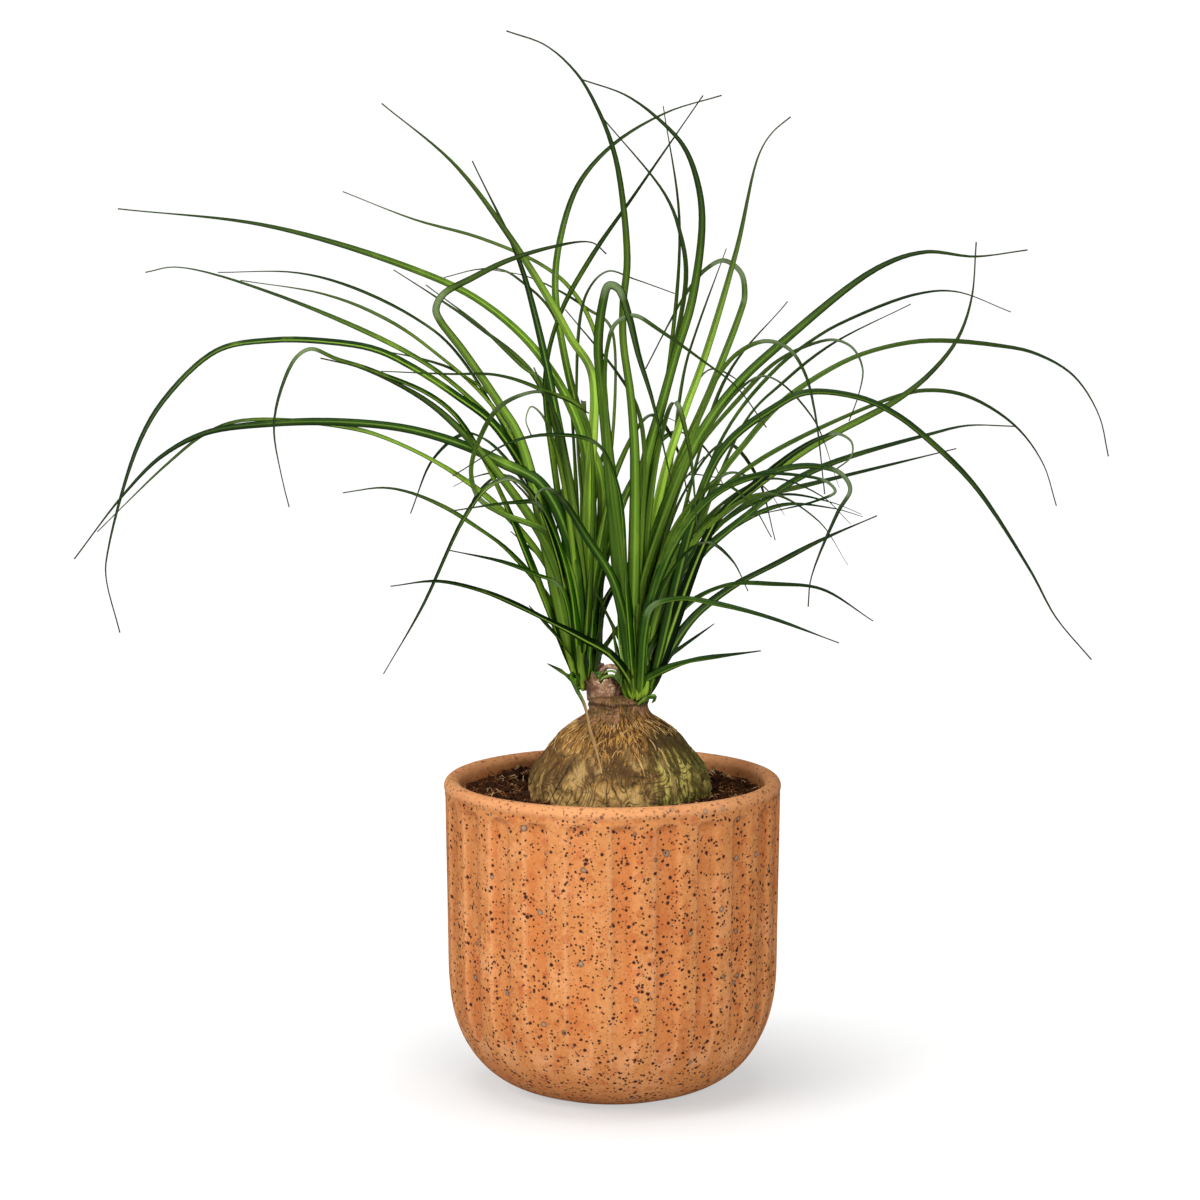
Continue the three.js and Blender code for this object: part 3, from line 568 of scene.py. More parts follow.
def barkMaterial():
    material, t, shader, place = newMaterial("caudexBark", 0.72, 0.25)
    x, _, z = t.parts(place, "XYZ")
    laid = t.attribute("barkPlace")["Vector"]

    def along(share):
        return t.stretched(laid, 1, 1, share)
    ragged = t.times(t.sum("SUBTRACT", t.noise(laid, 70.0, 5.0, 0.65), 0.5), 0.034)
    height, side = t.sum("ADD", z, ragged), t.sum("ADD", x, ragged)
    down = along(0.16)
    stitch = t.noise(along(0.42), 760.0, 2.0, 0.6, 0.8)
    streak = t.noise(down, 520.0, 3.0, 0.6, 0.4)
    # pale plates low down, split by thin cracks, each with its own tone and a dark line round it
    plates = t.mottled(laid, 85.0, 560.0, 0.5, caudex["plateDark"], caudex["plateTan"], caudex["plate"])
    cells = {"Vector": t.bent(along(0.55), laid, 150.0, 0.007), "Scale": 105.0}
    plateTone = t.parts(t.add("TexVoronoi", cells, feature="F1").outputs["Color"])[0]
    rim = t.add("TexVoronoi", cells, feature="DISTANCE_TO_EDGE").outputs["Distance"]
    # over them a darker uneven band
    band = t.times(t.span(height, 0.123, 0.129), t.span(height, 0.138, 0.131),
                   t.span(side, -0.022, -0.006, 0.35, 1))
    # the shoulder: golden fibres over brown, smoother and paler on the left
    fibres = t.paint(caudex["brown"], caudex, (stitch, 0.46, 0.60, "gold"))
    smoother = t.paint(caudex["brown"], caudex, (streak, 0.42, 0.58, "gold"))
    fibres = t.paint(fibres, caudex, (side, -0.004, -0.016, 0, 0.65, smoother))
    # green on the right side, with pale streaks
    green = t.times(t.span(side, 0.010, 0.019), t.span(height, 0.150, 0.143))
    flecks = t.noise(along(0.32), 300.0, 3.0, 0.6, 1.4)
    mossy = t.paint(caudex["moss"], caudex, (flecks, 0.48, 0.57, "mossLight"),
                    (height, 0.131, 0.139, "mossDark"))
    # the dull neck, ringed by old leaf scars
    blush = t.noise(place, 210.0, 3.0, 0.6)
    rings = t.noise(t.stretched(place, 0.25, 0.25, 1), 620.0, 2.0, 0.5, 0.6)
    hairs = t.stranded(t.stretched(place, 1, 1, 0.15), 1000.0, 0.3, 0.05)
    spots = t.specked(laid, 560.0, 0.28, 0.4, 0.2)
    scar = t.awayFrom(t.sum("ADD", z, t.times(ragged, 0.12)), 0.1513)
    neck = t.paint(
        caudex["neck"], caudex, (blush, 0.42, 0.62, "neckPink"), (rings, 0.36, 0.46, 0.7, 0, "neckDark"),
        (t.times(hairs, 0.45), "neckPale"), (t.times(spots, 0.7), "neckDark"),
        (scar, 0.0002, 0.0009, 0.65, 0, "crack"))
    # broad shade and light on the face, and a dark olive edge on the right
    face = t.span(height, 0.143, 0.137)
    shade = t.noise(along(0.6), 125.0, 4.0, 0.68, 0.5)
    dim = t.times(face, t.span(green, 0, 1, 1, 0.35), t.span(shade, 0.51, 0.39, 0, 0.8))
    lit = t.times(t.span(height, 0.136, 0.130), t.span(shade, 0.48, 0.61, 0, 0.5),
                  t.span(side, 0.014, 0.026, 1, 0.3))
    edge = t.times(t.span(side, 0.025, 0.033, 0, 0.6), t.span(height, 0.150, 0.143))
    colour = t.paint(
        plates["Color"], caudex, (height, 0.118, 0.134, 0.75, 0.1, "plate"),
        (streak, 0.40, 0.50, 0.5, 0, "plateDark"), (plateTone, 0.35, 1.0, 0, 0.6, "plateTan"),
        (t.times(t.span(rim, 0, 0.045, 1, 0), 0.65), "crack"), (t.times(band, 0.9), "band"),
        (t.times(t.span(height, 0.129, 0.137), t.span(side, 0.024, 0.012)), fibres),
        (t.times(green, 0.85), mossy), (height, 0.1445, 0.1485, neck), (dim, "plateDark"),
        (lit, "plateLit"), (edge, "moss"))
    # fine fibres everywhere
    for scale, tone, share in ((330.0, "straw", 0.3), (410.0, "plateDark", 0.6), (620.0, "straw", 0.2)):
        part = t.times(face, t.span(t.noise(laid, scale * 0.45, 2.0), 0.44, 0.56, 0, share))
        colour = t.paint(colour, caudex, (t.times(t.stranded(along(0.38), scale, 1.6, 0.022), part), tone))
    for scale, width, share in ((520.0, 0.035, 0.6), (1100.0, 0.06, 0.45)):
        part = t.span(height, 0.126, 0.134, 0.3 * share, share)
        colour = t.paint(colour, caudex, (t.times(t.stranded(down, scale, 1.0, width), part), "plateDark"))
    # thin curved lines of growth, nested on the low plates, and a few cracks
    field = t.noise(along(0.75), 70.0, 1.5, 0.5, 0.4)
    nested = t.times(t.span(t.sum("PINGPONG", t.times(field, 20.0), 0.5), 0.03, 0.21, 1, 0),
                     t.span(t.noise(laid, 120.0, 2.0), 0.38, 0.5), t.span(height, 0.136, 0.129, 0, 0.8))
    cracks = t.stranded(along(0.6), 75.0, 1.8, 0.010)
    colour = t.paint(colour, caudex, (nested, "lineTone"), (t.times(cracks, 0.55), "crack"))
    dress(t, shader, colour, (streak, 0.8, 0.9), (stitch, 0.5, 0.6),
          (t.sum("SUBTRACT", 1.0, cracks), 0.8, 0.6), (t.sum("SUBTRACT", 1.0, nested), 0.6, 0.4))
    return material


def barkPiece(name, body, material, dent):
    # a round body through points of (radius, height), with the bark's own coordinates on it
    track = curveThrough(body["shape"], body["fine"])
    angles = turns(body["around"])
    lengths = np.r_[0, np.cumsum(np.linalg.norm(np.diff(track, axis=0), axis=1))]
    centre = np.array([body["x"], body["y"], 0])
    swell = [barkRelief(angles, z) if body is caudex else 1 for _, z in track]
    places = np.concatenate([ring(r * s, angles, z, *centre[:2]) for (r, z), s in zip(track, swell)])
    laid = np.concatenate([ring(caudex["unroll"], angles, s) for s in lengths])
    out = (places - centre) * (1, 1, 0)
    out /= np.linalg.norm(out, axis=1, keepdims=True)
    places += out * dent(places, laid)[:, None]
    low, high = body["shape"][0][1] - 1, body["shape"][-1][1] + body["capRise"]
    places = np.r_[places, [centre + (0, 0, low), centre + (0, 0, high)]]
    laid = np.r_[laid, [(0, 0, 0), (0, 0, lengths[-1])]] * mm
    faces = ringFaces(len(track), body["around"], pointed=True)
    piece = newPiece(name, places, faces, material, node="caudex", slot="bark")
    colourLayer(piece, "barkPlace", np.c_[laid, np.ones(len(laid))])


def bulbDent(places, laid):
    # folds that run down the bulb, plates with sunken edges, fine grain
    folds = lumps(laid * (1, 1, 0.3), 5.5, 2, 2)
    edges = np.abs(lumps(laid * (1, 1, 0.6), 11, 5, 2))
    fine = lumps(laid * (1, 1, 0.3), 1.6, 8)
    neck = smoothStep(146, 149, places[:, 2])
    depth = (0.5 * folds - 0.8 * (1 - smoothStep(0, 0.10, edges)) + 0.3 * fine) * (1 - 0.6 * neck) - 0.25
    return np.minimum(depth, 0.25) * smoothStep(104, 113, places[:, 2])


def stubDent(places, laid):
    groove = np.exp(-((places[:, 2] - 151.3) / 0.7) ** 2)
    return 0.45 * lumps(places + places[:, 2:] * (1, 0.5, -0.55), 2.2, 12, 2) - 0.2 - 0.7 * groove


def bulbRadius(z):
    return np.interp(z, *np.transpose(caudex["shape"][caudex["shoulder"]:])[::-1])


def onBulb(angle, z, lift):
    r = bulbRadius(z) * barkRelief(angle, z) - 0.35 + lift
    return np.array([caudex["x"] + r * math.cos(angle), r * math.sin(angle), z])


def onBulbAsSeen(across, up, lift):
    # the bulb's front where it looks to be at (across, up)
    depth = -20.0
    for _ in range(8):
        x, _, z = seen(across, up, depth)
        depth = -math.sqrt(max(bulbRadius(z) ** 2 - (x - caudex["x"]) ** 2, 1))
    return onBulb(math.atan2(depth, x - caudex["x"]), z, lift)


def fibreAsSeen(start, end, radius, steps, sway=0):
    (x0, z0), (x1, z1) = start, end
    return strand([onBulbAsSeen(mixed(x0, x1, s) + sway * math.sin(3 * s), mixed(z0, z1, s), 0.5)
                   for s in steps], radius)


def fibreMaterial(name, tone, second, roughness):
    material, t, shader, place = newMaterial(name, roughness)
    dress(t, shader, t.blend(t.span(t.noise(place, 240.0, 2.0), 0.4, 0.6), tone, second))
    return material


def makeBarkFibres():
    # short golden fibres that lie down the shoulder, a few longer loose ones, and one dark scratch
    draw = random.Random(caudex["seed"])
    low, high = caudex["fibreSpan"]
    golden = []
    for k in range(caudex["fibres"]):
        angle, z = draw.uniform(0, 2 * math.pi), low + (high - low) * draw.random() ** 0.7
        drop, drift = draw.uniform(0.8, 2.6), draw.uniform(-0.08, 0.08)
        if math.cos(angle) > 0.45 and z < caudex["bareRight"]:
            continue
        points = [onBulb(angle + drift * s + draw.uniform(-0.012, 0.012), z - drop * s,
                         0.15 + 0.35 * math.sin(math.pi * s)) for s in (0, 0.33, 0.66, 1)]
        golden.append(strand(points, draw.uniform(0.07, 0.16), around=4))
    loose = [fibreAsSeen(*line, (0, 0.35, 0.7, 1), 0.6) for line in caudex["loose"]]
    scratch = [fibreAsSeen(*caudex["scratch"], np.linspace(0, 1, 6))]
    for name, parts, look, tone, second, roughness in (
            ("shoulderFibres", golden, "goldenFibre", "gold", "straw", 0.7),
            ("looseFibres", loose, "strawFibre", "straw", "gold", 0.6),
            ("darkScratch", scratch, "darkFibre", "crack", "crack", 0.8)):
        material = fibreMaterial(look, caudex[tone], caudex[second], roughness)
        newPiece(name, *joinParts(parts), material, node="caudex", slot="bark")


bark = barkMaterial()
barkPiece("caudexBulb", caudex, bark, bulbDent)
barkPiece("stemStub", stub, bark, stubDent)
makeBarkFibres()
print("caudex")


# Papery scales round the stub, and the little sprout

scales = {
    "count": 22, "seed": 5, "thickness": 0.25, "rows": 9, "columns": 6,
    "brown": (148, 104, 76), "pale": (222, 190, 156), "dark": (66, 42, 30),
}
sprout = {
    "foot": (-5.6, -4.2, 160.6), "count": 7, "thickness": 0.25, "ribbon": 0.3,
    "green": (54, 96, 18), "pale": (118, 150, 54),
    "bows": [                   # two young leaves bow over from the shoot to the right crown
        [(-4.6, -4.4, 160.4), (-2.6, -5, 163.6), (0.6, -5.4, 163.8), (3.6, -5.6, 160.2)],
        [(-4.6, -4.4, 160.4), (-2.6, -5, 161.8), (0.6, -5.4, 162), (3.6, -5.6, 158.4)],
    ],
    "curl": [                   # a short leaf end curls at the right crown's foot
        (9.8, -10.6, 152.2), (11.6, -11.8, 153.8), (14, -11.8, 155), (16, -11, 155),
        (16.5, -9.8, 153.8), (15.2, -9.2, 153),
    ],
}


def scaleMaterial():
    material, t, shader, place = newMaterial("dryScale", 0.55)
    body = t.mottled(place, 240.0, 1500.0, 0.4, scales["dark"], scales["brown"], scales["pale"])
    fibre = t.group(strands, Vector=t.stretched(place, 1, 1, 0.15), Scale=1500.0, Twist=0.3, Width=0.05)
    colour = t.paint(body["Color"], scales, (t.times(fibre["Mask"], 0.5), "dark"))
    dress(t, shader, colour, (fibre["Height"], 0.5, 0.3))
    return material


def sheet(grid, thickness):
    # a thin closed sheet over a grid of points
    grid = np.array(grid)
    rows, columns = grid.shape[:2]
    facing = np.cross(np.gradient(grid, axis=0), np.gradient(grid, axis=1))
    facing *= thickness / 2 / (np.linalg.norm(facing, axis=2, keepdims=True) + 1e-9)
    places = np.concatenate([(grid + facing).reshape(-1, 3), (grid - facing).reshape(-1, 3)])
    back = rows * columns
    at = np.arange(back).reshape(rows, columns)
    quads = np.stack([at[:-1, :-1], at[:-1, 1:], at[1:, 1:], at[1:, :-1]], 2).reshape(-1, 4)
    rim = np.r_[at[0], at[1:, -1], at[-1, -2::-1], at[-2:0:-1, 0]]
    after = np.roll(rim, -1)
    return places, [*quads[:, ::-1], *(back + quads), *np.stack([rim, after, back + after, back + rim], 1)]


def ribbon(points, fine, lean, stations):
    # a narrow sheet along a curve, that spreads along the lean
    track = curveThrough(points, fine)
    return sheet([[p + np.multiply(lean, u) for u in stations] for p in track], sprout["ribbon"])


def makeScales(material):
    draw = random.Random(scales["seed"])
    radius = stub["radius"]
    parts = []
    for k in range(scales["count"]):
        turn, base = k * 2.4 + draw.uniform(-0.3, 0.3), draw.uniform(150.5, 155.5)
        length, width = draw.uniform(6, 11), draw.uniform(4, 7.5)
        lean, curl = draw.uniform(0.05, 0.45), draw.uniform(-0.5, 0.9)
        grid = []
        for v in np.linspace(0, 1, scales["rows"]):
            row = []
            for u in np.linspace(-1, 1, scales["columns"]):
                angle = turn + u * width / 2 / radius * (1 - 0.75 * v ** 1.8) + 0.12 * v * curl
                r = radius + 0.1 + lean * length * v * 0.5 + curl * 1.6 * v ** 3
                r += 0.35 * draw.uniform(-1, 1) * v
                z = base + length * v * (1 - 0.25 * max(curl, 0) * v) + 0.5 * draw.uniform(-1, 1) * v
                row.append((stub["x"] + r * math.cos(angle), stub["y"] + r * math.sin(angle), z))
            grid.append(row)
        parts.append(sheet(grid, scales["thickness"]))
    newPiece("paperyScales", *joinParts(parts), material, node="caudex", slot="bark")


def makeSprout(dry):
    # a tiny curled shoot and the hooped remains of an old leaf, on top of the stub
    draw = random.Random(scales["seed"] + 1)
    leaves = []
    for k in range(sprout["count"]):
        a = 2 * math.pi * k / sprout["count"] + draw.uniform(-0.3, 0.3)
        out = np.array([math.cos(a), math.sin(a) * 0.7, 0])
        tall = draw.uniform(2.4, 4.2)
        grid = []
        for v in np.linspace(0, 1, 6):
            middle = sprout["foot"] + out * (0.4 + 2.0 * v ** 1.5) + (0, 0, tall * v * (1.25 - 0.5 * v))
            side = np.array([-out[1], out[0], 0]) * 0.9 * math.sin(math.pi * (0.15 + 0.8 * v))
            grid.append([middle + side * u + (0, 0, 0.25 * abs(u)) for u in (-1, -0.4, 0.4, 1)])
        leaves.append(sheet(grid, sprout["thickness"]))
    for points, wide in zip(sprout["bows"], (0.5, 0.7)):
        leaves.append(ribbon(points, 10, (0.2, 0, wide), (-0.8, 0, 0.8)))
    leaves.append(ribbon(sprout["curl"], 14, (0.25, -0.5, 0.85), (-1.1, -0.3, 0.4, 1.1)))
    green = fibreMaterial("sproutGreen", sprout["green"], sprout["pale"], 0.5)
    newPiece("sprout", *joinParts(leaves), green, node="caudex", slot="leaf")
    hoop = [(-0.6 - 4.4 * math.cos(a), -0.8 + 0.8 * math.sin(2 * a), 159.2 + 5.9 * math.sin(a) ** 0.8)
            for a in np.linspace(0, math.pi, 7)]
    newPiece("oldLeafHoop", *strand(hoop, 1.05, around=10, taper=0.75), dry, node="caudex", slot="bark")


dryScale = scaleMaterial()
makeScales(dryScale)
makeSprout(dryScale)
print("scales")


# Soil with crumbs, bark chips and fibres

soil = {
    "level": 115.5, "foot": 100.0, "inner": 20, "edge": 58.5, "rings": 120, "around": 360, "seed": 7,
    "crumbs": 2600, "chips": 300, "fibres": 900, "bulbClear": 36, "wallClear": 57,
    "spotLow": 34.5, "spotHigh": 57.2,
    "dark": (13, 7, 4), "brown": (52, 28, 13), "warm": (88, 48, 20),
    "fibre": (178, 122, 68), "paleFibre": (210, 174, 124),
}


def soilMaterial(name, *tones):
    material, t, shader, place = newMaterial(name, 0.9, 0.15)
    body = t.mottled(place, 180.0, 1300.0, 0.6, *[soil[tone] for tone in tones])
    dress(t, shader, body["Color"], (body["Height"], 0.9, 1.2))
    return material


def soilHeight(places):
    flat = np.multiply(places, (1, 1, 0))
    x, y = flat[:, 0], flat[:, 1]
    waves = np.sin(0.21 * x + 1.3) * np.cos(0.19 * y) + 0.7 * np.sin(0.37 * y - 0.29 * x)
    relief = 0.9 * waves + 0.5 * np.sin(0.83 * x) * np.sin(0.71 * y + 2)
    return soil["level"] + relief + 0.9 * lumps(flat, 5.5, 21, 3)


def makeSoilBed():
    angles = turns(soil["around"])
    radii = np.linspace(soil["inner"], soil["edge"], soil["rings"])
    places = np.concatenate([ring(r, angles, 0) for r in radii])
    places[:, 2] = soilHeight(places)
    places[:, 2] += 0.55 * lumps(places, 1.7, 4)
    places = np.r_[places, ring(soil["edge"], angles, soil["foot"])]
    material = soilMaterial("soil", "dark", "brown", "warm")
    newPiece("soilBed", places, ringFaces(soil["rings"] + 1, soil["around"]), material,
             node="soil", slot="potting_soil")


def soilSpot(draw):
    # a place on the soil clear of the bulb
    while True:
        r = math.sqrt(draw.uniform(soil["spotLow"] ** 2, soil["spotHigh"] ** 2))
        a = draw.uniform(0, 2 * math.pi)
        x, y = r * math.cos(a), r * math.sin(a)
        if math.hypot(x - caudex["x"], y) > soil["bulbClear"]:
            return x, y


def crumb(draw, x, y, z, size, flatness):
    # a lump with a ring of five uneven corners between two points
    turn = Matrix.Rotation(draw.uniform(0, 6.3), 3, "Z") @ Matrix.Rotation(draw.uniform(-0.6, 0.6), 3, "X")
    middle = [(math.cos(a), math.sin(a), draw.uniform(-0.3, 0.3)) for a in np.arange(5) * 1.2566]
    places = []
    for cx, cy, cz in [(0, 0, 1), *middle, (0, 0, -1)]:
        grow = size * draw.uniform(0.7, 1.2)
        places.append(turn @ Vector((cx * grow, cy * grow * draw.uniform(0.6, 1), cz * grow * flatness)))
    sides = [(1 + j, 1 + (j + 1) % 5) for j in range(5)]
    return np.array(places) + (x, y, z), [(0, a, b) for a, b in sides] + [(6, b, a) for a, b in sides]


def makeSoilBits():
    draw = random.Random(soil["seed"])
    crumbs, chips, fibres, pale = [], [], [], []
    for k in range(soil["crumbs"] + soil["chips"]):
        x, y = soilSpot(draw)
        z = soilHeight([(x, y, 0)])[0]
        if k < soil["crumbs"]:
            crumbs.append(crumb(draw, x, y, z + 0.3, draw.uniform(0.35, 1.1), 0.8))
        else:
            chips.append(crumb(draw, x, y, z + 0.7, draw.uniform(1.0, 2.6), 0.3))
    for k in range(soil["fibres"]):
        x, y = soilSpot(draw)
        turn, length = draw.uniform(0, 6.3), draw.uniform(1.5, 6) if k % 5 else draw.uniform(6, 13)
        bend = draw.uniform(-1.2, 1.2)
        points = []
        for s in np.linspace(0, 1, 5):
            px = x + length * s * math.cos(turn + bend * s)
            py = y + length * s * math.sin(turn + bend * s)
            inward = min(1, soil["wallClear"] / math.hypot(px, py))
            px, py = px * inward, py * inward
            z = soilHeight([(px, py, 0)])[0] + 0.9 + draw.uniform(-0.4, 1.0) * math.sin(math.pi * s)
            points.append((px, py, z))
        nearest = min(math.hypot(p[0] - caudex["x"], p[1]) for p in points)
        if nearest < soil["bulbClear"] + 0.5 or min(map(math.dist, points, points[1:])) < 0.1:
            continue
        (fibres if k % 6 else pale).append(strand(points, draw.uniform(0.1, 0.22)))
    for name, parts, *tones in (
            ("soilCrumbs", crumbs, "dark", "brown", "warm"), ("barkChips", chips, "dark", "brown", "warm"),
            ("soilFibres", fibres, "brown", "warm", "fibre"),
            ("paleFibres", pale, "fibre", "paleFibre", "paleFibre")):
        newPiece(name, *joinParts(parts), soilMaterial(name, *tones), node="soil", slot="potting_soil",
                 smooth=False)


makeSoilBed()
makeSoilBits()
print("soil")


# Leaves

leaf = {
    "width": 5, "leastWidth": 0.56, "thickness": 0.34, "channel": 0.18, "pinch": 0.55, "seed": 40,
    "fine": 400, "leastRings": 14, "spacing": 7.5, "bend": 0.13,    # a ring so often, by length and bend
    "planeSlope": 1.33, "planeMiddle": -0.75, "planeMargin": 3.4,   # the plane between the two bunches
    "brightUp": 45, "brightOut": 38,        # young leaves this near the middle are brighter
    "sheaths": 11, "lightFrom": math.radians(-115),
    "dark": (3, 20, 1), "middle": (50, 106, 8), "bright": (184, 230, 76),
    "under": (54, 88, 26), "fold": (132, 150, 108), "base": (158, 192, 60),
    "tip": (66, 60, 36), "end": (10, 32, 5),
    "straw": (204, 168, 112), "strawDark": (150, 112, 66),
}
leftCrown = {"foot": (-11, 5, 154.5), "radius": 5.4, "reach": 30}
rightCrown = {"foot": (9.6, -5.5, 150.5), "radius": 7, "reach": 34}

# Each row: width, depth at the tip, then pairs of across and up as they look from the camera, drawn on the
# upright plane through the pot's axis, from the crown outwards.
leftLeaves = [
    [5, 60, -8, 210, -12, 255, -28, 285, -50, 305, -75, 317, -130, 333.5, -187, 340],
    [4, 20, -12, 165, -17, 195, -25, 225, -38, 250, -54, 268, -75, 284, -130, 308.5, -165, 318, -177, 316],
    [2.5, 70, -25, 220, -40, 255, -61, 288, -75, 299, -100, 311, -120, 316, -149.5, 316],
    [3, 50, -40, 257, -71, 288.6, -90, 300.5, -110, 308, -141, 313],
    [4.5, -20, -25, 222, -44, 257, -59, 269, -75, 279.5, -90, 286.8, -110, 290, -130, 290.3, -150, 286.5,
     -170, 268.5, -181, 250, -193, 210, -194, 200, -189, 178],
    [5.5, -30, -35, 252, -43, 266, -57, 286.6, -65.6, 298, -67, 302, -64.4, 307.5, -53, 314, -40, 320.4,
     -23, 325.6, -7.6, 327.2, -2.4, 323],
    [4, 80, -25, 272, -35, 281, -51, 296.3, -70.8, 311.3],
    [4, 90, -27, 272, -53, 297, -67, 306.7, -83, 317],
    [5.5, -30, -14, 165, -18, 193, -24, 210, -34, 226.5, -56, 254, -72, 268, -95, 279.5, -111, 283.5],
    [3.5, -45, -60, 262, -90, 278.5, -105, 283.3, -114.5, 287, -120, 284, -126, 272, -129, 257, -126, 237,
     -123.5, 226.5],
    [5.5, -40, -12, 175, -17, 215, -28, 236, -42, 243.5, -56, 250, -78, 256.5, -105, 259.2, -130, 258.6,
     -155, 255, -172, 246, -187, 231, -206, 206.5],
    [3.5, -10, -22, 198, -41, 224, -60, 239.5, -83, 251.7, -100, 257, -141, 259.8, -155, 254.8, -170, 243,
     -197, 217],
    [3.5, 20, -14, 165, -22, 187.6, -40, 210, -52, 219, -64, 226.5, -78, 232.4, -88, 234, -103, 232],
    [3.5, -40, -14, 170, -20, 196, -30, 201, -42, 205.5, -63, 210],
    [3.5, -70, -20, 205, -30, 231, -36, 236.5, -40.5, 237.4, -48, 234, -57, 222, -73, 188, -88, 162],
    [4, -50, -13, 170, -15.5, 194, -21, 214, -28, 227.5, -38, 228.3, -62, 225],
    [4, -40, -16, 200, -25, 216.5, -42, 224, -51, 230, -54, 240, -51, 252, -43, 265, -31, 270.5, -19, 268,
     -9, 262.5],
    [3, -70, -10, 261, -27, 271.5, -45, 277.3, -62, 277.5, -88, 278.5],
    [2.5, 40, -40, 262, -58, 277.8, -70, 282.6, -95.6, 287.8],
    [3.5, 90, -2, 260, -7, 294, -16, 310, -27, 319, -50, 329, -75, 336, -102, 346.5],
    [5.5, 40, -12, 170, -16, 228, -20, 255, -29, 298, -36, 322, -53, 358],
    [5, 75, -4, 235, -11, 256, -18, 283, -21.8, 310, -20, 328, -13, 349, 0, 364, 20, 376, 41, 382.5],
    [4, 60, -13, 180, -22, 240, -25.5, 277, -20, 300, -8, 322, 8, 345, 34, 382.5],
    [5.5, 30, -9, 230, -8, 278, -15.6, 290.6, -23, 304, -40, 331, -60, 357, -87, 379.5],
    [2.5, 70, -0.4, 294.7, -9, 302, -20, 309, -33, 314.7, -46, 317],
    [3, 60, -21, 297, -35, 313, -42, 317, -51, 317.2, -64, 314],
    [3, 30, -14, 185, -22.8, 202.4, -39, 217.2],
    [3, 0, -13, 158, -19.4, 163, -25, 166],
    [3, -6, -13, 165, -18, 173, -32, 188.5],
    [6.5, -5, -11, 165, -12, 195, -13.5, 215, -18, 245, -22, 262, -30, 280],
    [4, 70, -6, 168, -4.5, 185, 0, 195, 8, 207, 20, 228, 35, 246],
    [4, 20, -6, 168, -2, 174, 6, 186],
    [2.5, 45, -10, 200, -14, 270, -10, 308, -2, 316.5, 8, 313.6, 23.5, 308],
    [4, -20, -12, 175, -17, 225, -22, 250, -27, 262, -31, 265, -33, 260, -31, 254],
]
